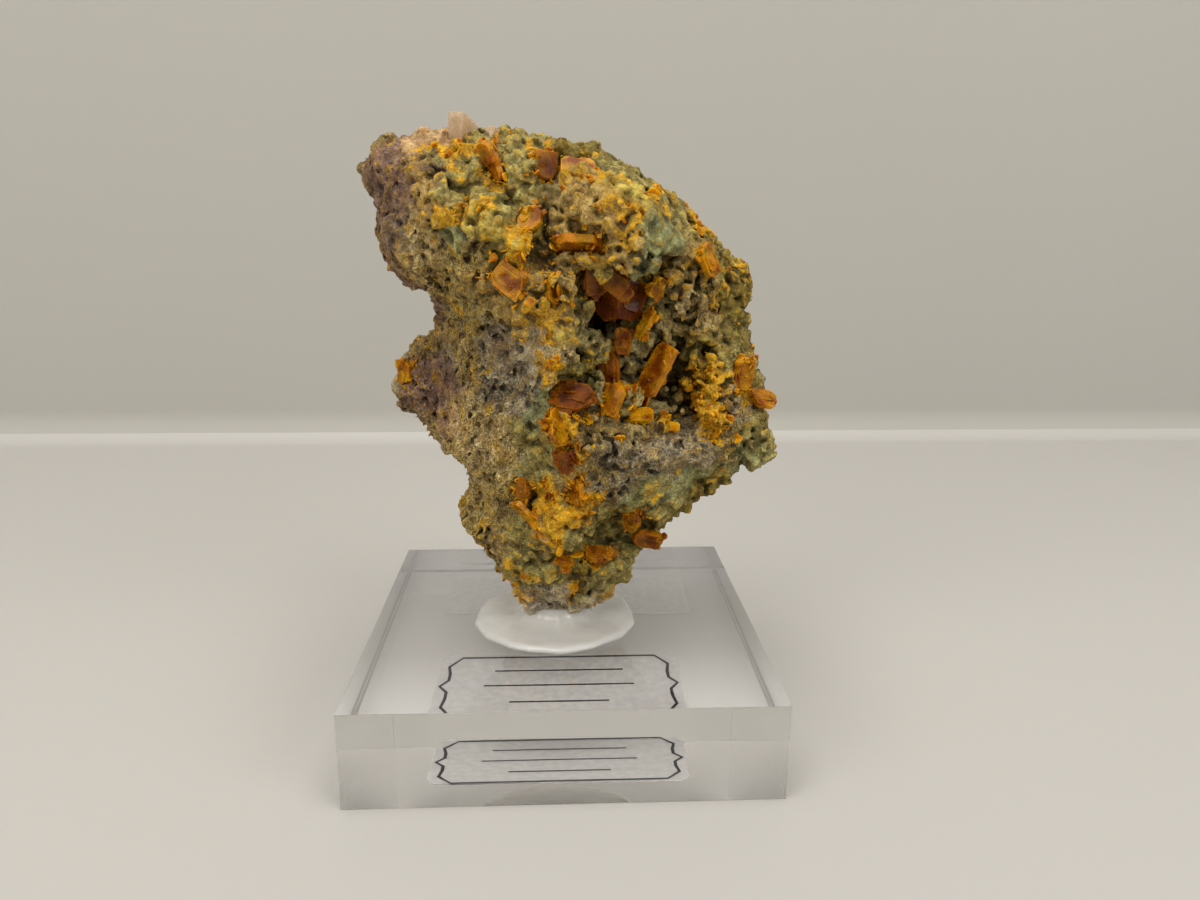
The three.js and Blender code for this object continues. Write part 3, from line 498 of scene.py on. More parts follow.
# Patches on the front: picture x, picture y, radius in millimetres.
FRONT_PATCHES = {
    "purple": [
        (372, 191, 2.6), (379, 166, 2.4), (390, 182, 1.3), (380, 212, 1.5), (434, 375, 2.2),
        (414, 383, 2.4), (437, 352, 1.8), (420, 398, 2.0), (648, 388, 1.2), (669, 383, 1.6),
        (679, 398, 1.4), (493, 347, 1.6), (459, 455, 0.8), (386, 138, 1.3)],
    "brown": [
        (403, 172, 1.2), (378, 225, 1.6), (392, 252, 1.6), (428, 325, 2.6), (422, 345, 2.2),
        (482, 494, 2.2), (476, 468, 1.8), (487, 519, 2.2), (497, 540, 2.0), (621, 426, 1.6),
        (603, 428, 1.2), (643, 426, 1.2), (692, 289, 1.6), (696, 411, 1.4), (742, 413, 1.2),
        (605, 480, 1.8), (589, 468, 1.4), (648, 404, 1.2), (557, 266, 1.2), (625, 452, 1.0),
        (656, 457, 1.0), (596, 444, 1.2), (428, 424, 1.6)],
    "broken": [
        (401, 268, 2.6), (440, 292, 3.0), (437, 272, 2.0), (469, 254, 1.8), (451, 325, 2.8),
        (472, 313, 2.6), (452, 356, 2.6), (462, 380, 2.6), (474, 367, 1.8), (470, 508, 2.8),
        (471, 528, 2.6), (463, 290, 2.2), (677, 333, 1.8), (686, 318, 2.0), (698, 300, 2.0),
        (713, 290, 1.8), (709, 320, 2.0), (719, 338, 1.6), (677, 262, 1.4), (456, 508, 2.0),
        (580, 478, 1.4), (734, 447, 1.8), (700, 448, 1.6)],
    "net": [
        (406, 204, 1.6), (410, 228, 1.6), (410, 282, 1.8), (420, 256, 1.6), (422, 284, 1.4),
        (428, 248, 2.0), (430, 330, 1.6), (442, 312, 1.4), (460, 340, 1.4), (418, 268, 1.8),
        (458, 422, 2.6), (468, 403, 2.4), (479, 427, 2.4), (468, 447, 2.6), (492, 452, 2.4),
        (470, 470, 2.2), (497, 472, 1.8), (506, 446, 1.8), (444, 408, 1.4), (500, 424, 1.8)],
    "lavender": [
        (487, 364, 2.2), (506, 366, 2.4), (509, 394, 2.4), (492, 384, 2.2), (487, 330, 1.6),
        (505, 330, 1.4), (538, 334, 1.2), (384, 236, 1.8), (392, 222, 1.8), (402, 240, 1.6),
        (637, 447, 2.0), (621, 462, 2.2), (610, 450, 1.6), (648, 468, 2.2), (669, 462, 2.0),
        (690, 440, 1.8), (690, 462, 1.8), (712, 452, 1.6), (616, 493, 1.8), (596, 490, 1.4),
        (675, 474, 1.8), (541, 602, 1.4)],
    "white": [
        (525, 361, 1.3), (529, 384, 1.3), (524, 404, 1.1), (545, 331, 0.7), (669, 449, 1.1),
        (612, 440, 0.9), (560, 594, 1.2), (655, 440, 1.0)],
    "pink": [
        (434, 411, 1.6), (445, 428, 1.4), (420, 131, 1.8), (436, 126, 1.6), (719, 452, 0.9),
        (551, 543, 0.8), (389, 150, 0.6)],
    "cream": [
        (402, 148, 1.6), (401, 158, 1.0), (412, 178, 1.3), (414, 192, 1.2), (420, 184, 1.2),
        (424, 206, 1.5), (418, 226, 1.2), (428, 262, 1.2), (414, 166, 1.0), (575, 190, 1.8),
        (563, 207, 2.2), (582, 222, 2.2), (598, 231, 2.0), (616, 250, 2.2), (634, 240, 1.8),
        (604, 197, 1.8), (478, 280, 1.8), (504, 295, 2.2), (522, 308, 2.0), (512, 320, 1.8),
        (563, 295, 1.8), (572, 274, 1.4), (580, 296, 1.2), (663, 272, 1.6), (545, 290, 1.2),
        (660, 292, 1.6), (584, 490, 1.4), (632, 268, 1.0), (528, 325, 1.6), (541, 548, 1.6),
        (541, 524, 1.2), (557, 526, 1.2), (541, 372, 1.2), (402, 262, 1.8), (396, 276, 1.4),
        (414, 270, 1.4)],
    "sage": [
        (516, 150, 2.4), (506, 162, 1.6), (504, 178, 2.0), (522, 180, 1.6), (522, 197, 2.2),
        (466, 160, 1.4), (466, 186, 1.8), (516, 212, 1.8), (430, 154, 1.1), (441, 158, 0.9),
        (440, 188, 1.2), (481, 190, 1.4), (530, 447, 2.0), (541, 460, 1.8), (533, 470, 1.6),
        (519, 432, 1.6), (617, 538, 2.2), (589, 528, 1.8), (578, 545, 2.0), (609, 560, 2.2),
        (626, 570, 2.0), (641, 548, 1.6), (541, 560, 2.0), (551, 575, 1.8), (514, 530, 1.6),
        (525, 537, 1.6), (524, 560, 1.8), (609, 585, 2.0), (760, 428, 1.6), (748, 428, 1.6),
        (755, 372, 1.6), (633, 178, 1.6), (592, 160, 1.4), (669, 508, 1.6), (660, 528, 1.2),
        (750, 456, 1.4), (545, 440, 1.4), (457, 175, 1.2)],
    "olive": [
        (575, 148, 2.4), (560, 152, 1.8), (594, 158, 1.6), (545, 150, 1.6), (530, 140, 1.4),
        (534, 232, 1.4), (578, 358, 1.8), (596, 348, 1.8), (571, 374, 1.4), (732, 290, 1.8),
        (741, 306, 1.8), (735, 326, 1.8), (741, 345, 1.6), (729, 372, 1.2), (756, 390, 1.2),
        (610, 522, 1.6), (599, 535, 1.6), (568, 568, 1.8), (592, 566, 1.6), (626, 512, 1.2),
        (672, 528, 1.2), (498, 254, 1.4), (586, 216, 0.9), (499, 200, 1.2), (634, 526, 1.2)],
    "coral": [
        (602, 345, 1.8), (621, 352, 1.8), (584, 364, 1.4), (632, 368, 1.4), (616, 378, 1.2),
        (650, 400, 1.4), (676, 330, 1.6), (688, 350, 1.8), (662, 372, 1.4), (684, 376, 1.4),
        (660, 408, 1.2), (641, 392, 1.2), (675, 405, 1.2), (590, 332, 1.4), (609, 330, 1.2),
        (556, 205, 0.8), (551, 190, 1.0)],
    "pale": [
        (486, 228, 1.8), (500, 222, 1.4), (497, 240, 1.4), (467, 222, 1.4), (477, 240, 1.2),
        (441, 146, 0.9), (456, 148, 1.0), (462, 174, 1.0), (504, 158, 1.0), (620, 190, 1.8),
        (640, 198, 1.4), (625, 586, 1.4), (735, 426, 1.2), (648, 490, 1.4), (432, 176, 0.8),
        (604, 300, 0.9), (655, 330, 1.2), (563, 500, 0.9)],
    "sea": [
        (663, 231, 2.4), (671, 219, 1.8), (650, 252, 1.4), (680, 242, 1.6), (660, 247, 1.6),
        (674, 289, 1.4), (668, 304, 1.6), (680, 290, 1.4), (688, 276, 1.2), (443, 237, 1.6),
        (452, 247, 1.4), (541, 420, 1.6), (530, 426, 1.4), (549, 404, 1.4), (691, 484, 1.6),
        (664, 490, 1.8), (632, 500, 1.2), (640, 484, 1.2), (555, 470, 1.2), (516, 470, 1.2)],
    "ochre": [
        (417, 146, 1.1), (430, 143, 0.8), (423, 158, 0.8), (447, 150, 0.9), (450, 166, 0.8),
        (472, 146, 1.0), (498, 134, 1.0), (510, 140, 0.7), (487, 177, 1.2), (500, 190, 1.0),
        (515, 188, 0.8), (440, 205, 0.9), (437, 222, 0.8), (463, 207, 1.0), (480, 218, 1.0),
        (487, 231, 0.7), (519, 226, 1.0), (524, 244, 0.8), (517, 262, 0.9), (585, 187, 1.0),
        (597, 213, 1.0), (613, 201, 1.2), (616, 219, 0.9), (636, 210, 0.9), (657, 201, 0.8),
        (622, 240, 0.7), (701, 256, 1.0), (718, 262, 0.8), (730, 268, 1.0), (739, 285, 0.8),
        (745, 300, 0.7), (573, 296, 0.7), (478, 270, 0.7), (664, 420, 0.8), (578, 430, 0.9),
        (578, 447, 1.2), (551, 430, 1.0), (573, 462, 0.8), (548, 482, 0.9), (541, 492, 0.9),
        (557, 500, 0.9), (568, 517, 1.4), (586, 511, 1.6), (596, 505, 1.0), (560, 533, 1.2),
        (707, 372, 1.2), (709, 386, 1.4), (712, 402, 1.4), (718, 416, 1.2), (735, 374, 1.0),
        (750, 356, 0.9), (733, 436, 0.8), (764, 438, 0.7), (724, 350, 0.8), (512, 560, 0.9),
        (525, 572, 0.8), (519, 597, 0.9), (573, 592, 0.8), (606, 594, 0.9), (640, 556, 1.0),
        (509, 580, 0.9), (553, 398, 0.6), (558, 362, 0.6), (652, 514, 0.9), (413, 284, 0.9),
        (405, 276, 0.8), (487, 206, 0.7), (549, 338, 0.6), (631, 434, 0.7), (652, 424, 0.6),
        (531, 546, 0.8), (545, 512, 0.9), (560, 412, 0.8), (568, 216, 0.6), (548, 522, 1.0),
        (556, 538, 1.2), (563, 550, 0.8), (572, 528, 1.0), (538, 508, 0.8)],
    "rust": [
        (573, 486, 1.2), (543, 172, 0.9), (574, 246, 1.2), (590, 404, 1.2), (616, 440, 0.6),
        (645, 540, 1.2), (700, 498, 0.8), (740, 372, 0.9), (591, 398, 0.8), (568, 460, 0.9),
        (600, 270, 1.2), (696, 270, 0.8)],
    # Patches of painted shade, where the crust is also sunk into hollows.
    "hollow": [
        (431, 174, 1.0), (437, 229, 0.6), (431, 223, 0.5), (458, 281, 0.9), (617, 233, 0.5),
        (455, 270, 0.7), (445, 300, 0.8), (466, 386, 1.0), (438, 352, 0.9), (492, 340, 0.8),
        (472, 342, 0.6), (548, 232, 1.0), (541, 250, 0.9), (547, 262, 0.8), (553, 168, 0.6),
        (546, 186, 0.7), (597, 305, 1.2), (600, 292, 1.0), (634, 340, 0.8), (697, 288, 0.5),
        (722, 296, 0.5), (668, 345, 1.2), (690, 366, 0.9), (588, 344, 0.6), (575, 345, 0.5),
        (572, 388, 0.6), (604, 511, 1.0), (599, 520, 0.8), (570, 574, 1.0), (644, 474, 0.4),
        (618, 455, 0.5), (508, 374, 0.6), (498, 356, 0.5), (484, 392, 0.6), (578, 340, 0.4),
        (715, 312, 0.4), (735, 398, 0.7), (742, 404, 0.5), (697, 262, 0.4), (664, 262, 0.5),
        (633, 262, 0.6), (530, 220, 0.5), (489, 408, 0.3), (560, 244, 0.5), (541, 214, 1.1),
        (545, 242, 1.0), (538, 262, 0.9), (550, 176, 0.9), (556, 186, 0.8), (549, 200, 0.9),
        (480, 256, 0.5), (486, 168, 0.6), (524, 168, 0.6), (532, 196, 0.6), (463, 196, 0.6),
        (505, 274, 0.7), (532, 300, 0.6), (590, 285, 0.9), (478, 218, 0.4), (690, 300, 0.6),
        (728, 316, 0.5), (738, 336, 0.5), (560, 560, 1.0), (612, 424, 0.6), (633, 430, 0.6),
        (652, 424, 0.7), (670, 426, 0.8), (600, 418, 0.5), (590, 432, 0.6), (590, 310, 0.9),
        (600, 325, 0.8), (645, 352, 0.9), (655, 362, 1.0), (672, 358, 1.0), (690, 384, 0.7),
        (548, 588, 0.6), (586, 578, 1.1), (602, 572, 0.9), (618, 556, 1.0), (636, 512, 0.7),
        (535, 545, 0.7), (545, 572, 0.8), (576, 594, 0.7), (597, 590, 0.7), (613, 592, 0.8),
        (629, 580, 0.8), (606, 547, 0.9), (516, 545, 0.7), (528, 566, 0.7)],
}

# Patches round the sides and the back: direction seen from above in degrees, 0 at the front and
# 90 at the right; height and radius in millimetres.
ROUND_PATCHES = {
    "purple": [
        (-70, 68, 5), (-85, 62, 5), (-100, 56, 4), (-75, 44, 4), (-95, 40, 4), (-130, 60, 4),
        (160, 66, 4)],
    "brown": [
        (-110, 66, 5), (-140, 50, 5), (-80, 50, 4), (-160, 36, 5), (170, 52, 6), (130, 40, 5),
        (-115, 28, 5)],
    "broken": [
        (-60, 30, 4), (-125, 42, 5), (180, 28, 6), (150, 58, 5), (110, 50, 4), (95, 36, 4), (200, 60, 5)],
    "net": [(-75, 32, 4), (-100, 34, 4), (215, 44, 5), (165, 40, 4), (120, 28, 4)],
    "lavender": [(-90, 48, 3), (190, 44, 4), (75, 42, 4), (100, 42, 3), (-145, 62, 3)],
    "white": [(-105, 45, 2), (140, 48, 2.5), (200, 34, 2)],
    "pink": [(-80, 40, 2.2), (175, 62, 2.5), (-150, 44, 2)],
    "sage": [
        (70, 66, 4), (100, 62, 4), (140, 68, 4), (60, 24, 4), (100, 22, 4), (160, 22, 4), (-150, 24, 4),
        (85, 50, 3)],
    "olive": [(85, 58, 4), (120, 60, 4), (130, 22, 3), (-100, 20, 4), (190, 70, 3), (75, 30, 3)],
    "sea": [(105, 56, 3), (155, 62, 3), (80, 36, 3), (-135, 32, 3)],
    "cream": [(65, 60, 3), (115, 46, 4), (-165, 55, 4), (185, 36, 3), (-120, 50, 3)],
    "ochre": [
        (75, 55, 2), (90, 64, 2), (110, 66, 2), (125, 54, 2), (150, 50, 1.8), (-120, 56, 1.6),
        (170, 46, 1.6), (-150, 38, 1.6), (205, 52, 1.8), (95, 28, 1.8), (140, 30, 1.6), (-110, 24, 1.6),
        (180, 20, 1.6), (85, 44, 1.6), (155, 70, 1.8), (-140, 70, 1.5), (-70, 36, 1.2), (60, 50, 1.6)],
    # Patches of painted shade, where the crust is also sunk into hollows.
    "hollow": [
        (-90, 58, 1), (-125, 48, 1.2), (175, 56, 1.2), (130, 44, 1.2), (105, 48, 1), (150, 36, 1),
        (200, 40, 1.2)],
}

# Patches on the top: x, y and radius in millimetres.
TOP_PATCHES = {
    "pink": [(-17, -4, 3), (-13, 2, 3)],
    "brown": [(-18, 4, 4), (-8, 9, 4), (2, 10, 4)],
    "sage": [(-6, -4, 4), (0, 0, 4), (6, -2, 4), (-2, 6, 3)],
    "olive": [(4, 4, 3), (-4, 2, 2.5), (10, 2, 3)],
    "ochre": [(-12, -6, 2), (-3, -8, 1.6), (3, -4, 1.6), (8, 4, 1.8), (-8, 3, 1.8), (12, -2, 1.6)],
}

# Crust that stands out from the smooth rock: kind, picture x, picture y, depth (y in millimetres),
# how far its knobs spread, and how many there are.
KNOB_SPOTS = [
    ("coral", 572, 322, -9.6, 1.3, 16), ("coral", 585, 335, -8.6, 1.5, 20),
    ("coral", 598, 345, -7.6, 1.5, 20), ("coral", 576, 345, -9.6, 1.3, 16),
    ("coral", 612, 352, -6.8, 1.4, 18), ("olive", 590, 360, -8.6, 1.3, 16),
    ("coral", 626, 362, -6.0, 1.3, 18), ("coral", 638, 350, -4.8, 1.2, 14),
    ("coral", 632, 344, -4.4, 1.0, 12), ("coral", 608, 369, -7.6, 1.0, 12),
    ("coral", 634, 394, -9.4, 0.9, 10), ("coral", 641, 404, -9.0, 0.9, 10),
    ("coral", 652, 410, -6.4, 1.0, 12), ("brown", 668, 412, -5.2, 1.0, 12),
    ("coral", 676, 398, -2.2, 1.2, 12), ("ochre", 693, 398, -3.0, 1.2, 14),
    ("coral", 662, 330, -3.9, 1.4, 14), ("pale", 684, 322, -4.6, 1.4, 14),
    ("pale", 706, 368, -3.6, 1.3, 40), ("ochre", 706, 381, -4.4, 1.4, 44),
    ("ochre", 708, 394, -5.0, 1.4, 44), ("ochre", 711, 407, -5.5, 1.4, 44),
    ("ochre", 715, 419, -5.9, 1.3, 40), ("sage", 724, 366, -2.6, 1.2, 30),
    ("pale", 724, 380, -3.6, 1.2, 30), ("pale", 725, 394, -4.4, 1.1, 26),
    ("sage", 727, 408, -5.0, 1.1, 24), ("sage", 694, 350, -2.6, 1.2, 14),
    ("pale", 658, 282, -6.6, 1.5, 34), ("sea", 668, 298, -6.0, 1.5, 34),
    ("cream", 660, 312, -5.0, 1.4, 26), ("cream", 677, 284, -7.4, 1.5, 28),
    ("net", 686, 300, -6.8, 1.5, 28), ("cream", 692, 318, -5.0, 1.5, 24),
    ("net", 673, 322, -4.6, 1.4, 24), ("pale", 700, 338, -3.2, 1.5, 24), ("net", 706, 320, -4.4, 1.4, 20),
    ("sea", 650, 298, -6.0, 1.3, 20), ("cream", 618, 254, -14.6, 1.1, 18),
    ("cream", 634, 250, -14.8, 1.1, 18), ("sage", 757, 447, -2.6, 1.2, 40),
    ("sea", 753, 456, -3.0, 1.1, 34), ("sage", 763, 442, -2.2, 0.9, 24),
    ("sage", 762, 453, -2.4, 0.8, 20), ("coral", 602, 448, -13.0, 0.9, 14),
    ("brown", 588, 442, -13.4, 0.8, 12), ("coral", 624, 446, -12.6, 0.8, 12),
    ("brown", 640, 434, -11.2, 0.9, 14), ("coral", 612, 412, -10.8, 0.9, 14),
    ("coral", 632, 428, -11.2, 0.8, 12), ("coral", 596, 398, -10.4, 1.0, 14),
    ("cream", 548, 300, -14.4, 1.0, 14), ("cream", 562, 285, -14.2, 1.3, 16),
    ("pale", 606, 268, -13.0, 1.0, 14), ("sea", 630, 262, -12.8, 1.1, 16),
    ("sea", 648, 258, -12.8, 1.2, 16), ("sage", 575, 310, -10.6, 1.4, 16),
    ("olive", 572, 157, -7.6, 1.0, 14), ("olive", 582, 163, -7.2, 1.0, 14),
    ("olive", 560, 154, -7.8, 1.0, 12), ("cream", 567, 316, -13.6, 0.8, 14),
    ("pale", 568, 334, -13.4, 0.8, 14), ("net", 565, 350, -13.2, 0.9, 14),
]

# Where the crust is cut back: picture x, picture y, depth (y in millimetres) and radius.
CUT_SPOTS = [
    (450, 133, -5.0, 1.7), (460, 132, -5.2, 1.8), (470, 133, -5.2, 1.7), (455, 128, -3.4, 1.5),
    (479, 130, -5.0, 1.6), (487, 131, -4.8, 1.4),
]

ROCK_AXIS = Vector((0.0, 1.0, 0.0))
OUTSIDE = 80.0  # how far from the rock's axis, and how high, the rays start that find a patch's place
SKY = 120.0
KNOB_PATCH = 1.5  # a spot of knobs is also a patch, this many times as wide


def knob_middle(px, py, depth):
    """Where a pixel's ray reaches a depth, in millimetres."""
    ray = pixel_ray(px, py)
    return np.array(CAMERA_PLACE + ray * ((depth - CAMERA_PLACE.y) / ray.y))


def surface_patches(tree):
    """Every patch as kind, centre on the rock in millimetres, and radius."""
    rays = []
    for kind, spots in FRONT_PATCHES.items():
        rays += [(kind, CAMERA_PLACE, pixel_ray(px, py), radius) for px, py, radius in spots]
    for kind, spots in ROUND_PATCHES.items():
        for turn, height, radius in spots:
            inward = Vector((-math.sin(math.radians(turn)), math.cos(math.radians(turn)), 0))
            rays.append((kind, ROCK_AXIS + Vector((0, 0, height)) - inward * OUTSIDE, inward, radius))
    for kind, spots in TOP_PATCHES.items():
        rays += [(kind, Vector((x, y, SKY)), Vector((0, 0, -1)), radius) for x, y, radius in spots]
    patches = []
    for kind, origin, direction, radius in rays:
        place, _, _, _ = tree.ray_cast(origin, direction)
        if place:
            patches.append((kind, np.array(place), radius))
    for kind, px, py, depth, reach, _ in KNOB_SPOTS:
        patches.append((kind, knob_middle(px, py, depth), reach * KNOB_PATCH))
    return patches


# ---------------------------------------------------------------- rock: noise

TABLE_SIDE = 64


def noise_at(points, spacing, seed):
    """Smooth random values from -1 to 1 at points, changing over the given distance in millimetres."""
    table = np.random.default_rng(seed).uniform(-1, 1, (TABLE_SIDE,) * 3).astype(np.float32).ravel()
    scaled = points / np.float32(spacing) + np.float32(seed * 7.31 % 50)
    cell = np.floor(scaled).astype(np.int32)
    t = scaled - cell
    t = t * t * (3 - 2 * t)
    low = cell % TABLE_SIDE
    high = (cell + 1) % TABLE_SIDE
    x = (low[:, 0] * TABLE_SIDE * TABLE_SIDE, high[:, 0] * TABLE_SIDE * TABLE_SIDE)
    y = (low[:, 1] * TABLE_SIDE, high[:, 1] * TABLE_SIDE)
    z = (low[:, 2], high[:, 2])

    def along_z(i, j):
        base = x[i] + y[j]
        a = table[base + z[0]]
        return a + (table[base + z[1]] - a) * t[:, 2]

    def along_y(i):
        a = along_z(i, 0)
        return a + (along_z(i, 1) - a) * t[:, 1]

    a = along_y(0)
    return a + (along_y(1) - a) * t[:, 0]


def layered(points, layers):
    """The sum of noises, each given as height, spacing and seed."""
    return sum(height * noise_at(points, spacing, seed) for height, spacing, seed in layers)


def warped(points, depth, spacing, seed):
    """Points shifted by noise, which makes straight borders ragged."""
    shift = np.stack([noise_at(points, spacing, seed + axis) for axis in range(3)], axis=1)
    return points + shift * np.float32(depth)


def ridges(values, width):
    """1 along the lines where noise passes zero, falling off over the given width."""
    return np.exp(-(values / width) ** 2)


# ---------------------------------------------------------------- rock: grids

VOXEL = 0.26
FIELD_MARGIN = 2.6
FIELD_FAR = 2.4  # distances past this are cut off
KIND_CELL = 0.7  # spacing of the coarse grid that holds the kinds
KIND_REACH = 2.6  # a patch is felt this many radii out
KIND_SHARPNESS = 2.1
KIND_BORDERS = ((0.35, 0.8, 15), (1.1, 2.6, 11))  # how ragged borders are: depth, spacing and seed
AMBIENT = 0.012  # weight of the broken stone that lies where there is no patch


def grid_corners(place, shape):
    """The eight grid points round each place, one after another: its share of them and their indexes."""
    place = np.clip(place, 0, np.array(shape) - 1.001)
    cell = place.astype(np.int32)
    t = (place - cell).astype(np.float32)
    for i, j, k in np.ndindex(2, 2, 2):
        share = np.abs(1 - i - t[:, 0]) * np.abs(1 - j - t[:, 1]) * np.abs(1 - k - t[:, 2])
        yield share, (cell[:, 0] + i, cell[:, 1] + j, cell[:, 2] + k)


def block_near(centre, reach, origin, spacing, shape):
    """The block of a grid that lies near a centre, and the squared distances from the centre in it."""
    low = np.maximum(np.floor((centre - reach - origin) / spacing).astype(int), 0)
    high = np.clip(np.ceil((centre + reach - origin) / spacing).astype(int) + 1, low, shape)
    x, y, z = (np.arange(a, b) * spacing + o - c for a, b, o, c in zip(low, high, origin, centre))
    square = (x ** 2)[:, None, None] + (y ** 2)[None, :, None] + (z ** 2)[None, None, :]
    return tuple(slice(a, b) for a, b in zip(low, high)), square


class Field:
    """Distances to a surface in millimetres at the points of a regular grid, negative inside."""

    def __init__(self, low, high):
        self.first = np.floor(low / VOXEL).astype(int)
        self.shape = tuple(np.ceil(high / VOXEL).astype(int) - self.first + 1)

    def from_solids(self, points, triangles):
        grid = openvdb.FloatGrid.createLevelSetFromPolygons(
            points.astype(np.float64),
            triangles=triangles.astype(np.uint32),
            transform=openvdb.createLinearTransform(voxelSize=VOXEL),
            halfWidth=FIELD_FAR / VOXEL,
        )
        values = np.full(self.shape, FIELD_FAR, np.float32)
        grid.copyToArray(values, ijk=tuple(int(i) for i in self.first))
        return values

    def to_surface(self, values, level=0.0):
        """Points and quads of the surface where the values pass a level."""
        grid = openvdb.FloatGrid(background=FIELD_FAR)
        grid.transform = openvdb.createLinearTransform(voxelSize=VOXEL)
        grid.copyFromArray(values, ijk=tuple(int(i) for i in self.first))
        points, quads = grid.convertToQuads(isovalue=level)
        return points.astype(np.float32), quads.astype(np.int32)

    def points_at(self, near):
        """The places of grid points given by their indexes."""
        return (np.stack(near, axis=1) + self.first).astype(np.float32) * np.float32(VOXEL)

    def sample(self, values, points):
        """Values at any points, from the eight grid points round each."""
        return sum(share * values[at] for share, at in grid_corners(points / VOXEL - self.first, self.shape))

    def stamp(self, values, centres, radii, add):
        """Adds a ball to the solid at each centre, or cuts it away."""
        origin = self.first * VOXEL
        for centre, radius in zip(centres, radii):
            block, square = block_near(centre, radius + 2 * VOXEL, origin, VOXEL, self.shape)
            ball = np.sqrt(square).astype(np.float32) - np.float32(radius)
            values[block] = np.minimum(values[block], ball) if add else np.maximum(values[block], -ball)

    def stamp_clear(self, values, centres, radii, crystal, room):
        """Adds the balls whose centres are farther than the given room from the crystals."""
        clear = self.sample(crystal, centres) > room
        self.stamp(values, centres[clear], radii[clear], add=True)


class KindMap:
    """How much of each kind of crust there is at any point near the rock."""

    def __init__(self, patches, low, high):
        self.low = low
        self.shape = tuple(np.ceil((high - low) / KIND_CELL).astype(int) + 2)
        self.weights = np.zeros((len(KINDS),) + self.shape, np.float32)
        for kind, centre, radius in patches:
            block, square = block_near(centre, radius * KIND_REACH, low, KIND_CELL, self.shape)
            self.weights[(KIND_NAMES.index(kind),) + block] += np.exp(-square / radius ** 2)
        self.weights[KIND_NAMES.index("broken")] += AMBIENT

    def at(self, points):
        """Shares of the kinds at points, one row for each point, adding up to 1."""
        fine, coarse = KIND_BORDERS
        place = (warped(warped(points, *coarse), *fine) - self.low) / KIND_CELL
        corners = grid_corners(place, self.shape)
        shares = sum(part * self.weights[(slice(None),) + at] for part, at in corners)
        shares **= KIND_SHARPNESS
        return (shares / shares.sum(0)).T


def kind_values(key):
    return np.array([getattr(kind, key) for kind in KINDS.values()], np.float32)


# ---------------------------------------------------------------- rock: surface

CLOSING = 0.34  # half the widest gap that is closed between the rock and its crystals
BAND = 2.2  # the surface's relief lies within this distance
RELIEF_SINK = 0.5  # the crust starts this far in, so that its lumps reach the solid's outline
SWELLS = ((0.7, 4.2, 21), (0.45, 2.0, 22))
NET_LEAN = Matrix.Rotation(math.radians(38), 3, "Y")
NET_STRETCH = np.array([1.0, 1.0, 1.9], np.float32)
NET_RAGGED = (0.35, 1.3, 31)
NET_TOP = 0.75  # height of the net's walls, from which its meshes fall away
NET_MESHES = ((1.6, 1.5, 23), (1.1, 0.8, 24))
CREASE_RAGGED = (0.5, 1.2, 35)
CREASES = ((1.0, 2.3, 27, 0.13), (0.7, 1.4, 28, 0.14))  # depth, spacing, seed and width
PIT_RAGGED = (0.35, 0.9, 38)
PIT_NOISE = (0.95, 29)
PIT_EDGE = (0.38, 0.68)  # a pit starts at the first value of its noise and is full at the second
GRAIN_LAYERS = ((1.0, 0.85, 25), (0.8, 0.52, 26))
FOLD_HEIGHT = 0.38
FOLD_RAGGED = (0.3, 0.8, 92)
FOLD_NOISE = (1.1, 95)
FOLD_MIDDLE = 0.4
UNEVEN = 0.26  # how far the finished surface is shifted to and fro, which makes its knobs uneven
UNEVEN_WAVES = ((UNEVEN, 1.1, 98), (UNEVEN / 2, 0.55, 94))
LUMP_COUNT = 2600
LUMP_RADIUS = 0.45  # of the smallest lumps
LUMP_EXTRA = 0.75  # what the largest ones have more
LUMP_POWER = 1.8  # a higher power makes more of them small
LUMP_SINK = 0.42  # share of its radius that a lump sits below the surface
LUMP_ROOM = 0.8  # share of its radius that its middle keeps from a crystal
BEAD_COUNT = 6500
BEAD_POWER = 1.6
BEAD_SINK = 0.25
BEAD_ROOM = 0.5
POCKET_BALLS = 4  # balls that are cut away at each hollow patch
POCKET_SPREAD = 0.35  # how far apart they lie, as a share of the patch's radius
POCKET_RADII = (0.45, 0.85)  # as shares of the patch's radius
KNOB_RADII = (0.28, 0.66)
KNOB_SPREAD = 0.55  # how far apart a spot's knobs lie, as a share of its reach
KNOB_ROOM = 0.15
OPEN_REACH = 0.8  # how far out a point looks to see whether it is in a crevice
CRYSTAL_ROOM = 0.1  # the crust stays this far from the crystals
RELIEF_FADE = 1.2  # the crust's relief grows to its full height this far from a crystal
LOOSE_REACH = 0.8


def surface_relief(points, shares):
    """How far the crust stands out from the smooth rock, in millimetres, before its lumps and beads."""
    relief = layered(points, SWELLS) - RELIEF_SINK + shares @ kind_values("rise")
    leaning = warped(points @ np.array(NET_LEAN, np.float32) / NET_STRETCH, *NET_RAGGED)
    net = NET_TOP - sum(fall * np.abs(noise_at(leaning, spacing, seed)) for fall, spacing, seed in NET_MESHES)
    relief += (shares @ kind_values("net")) * net
    creases = [
        depth * ridges(noise_at(place, spacing, seed), width)
        for place, (depth, spacing, seed, width) in zip((warped(points, *CREASE_RAGGED), points), CREASES)]
    relief -= (shares @ kind_values("cracks")) * sum(creases)
    start, full = PIT_EDGE
    pits = (noise_at(warped(points, *PIT_RAGGED), *PIT_NOISE) - start) / (full - start)
    return relief - (shares @ kind_values("pits")) * np.clip(pits, 0, 1)


def surface_grain(points, shares):
    """The finest roughness, in millimetres."""
    folds = FOLD_MIDDLE - np.abs(noise_at(warped(points, *FOLD_RAGGED), *FOLD_NOISE))
    return (shares @ kind_values("grain")) * layered(points, GRAIN_LAYERS) + FOLD_HEIGHT * folds


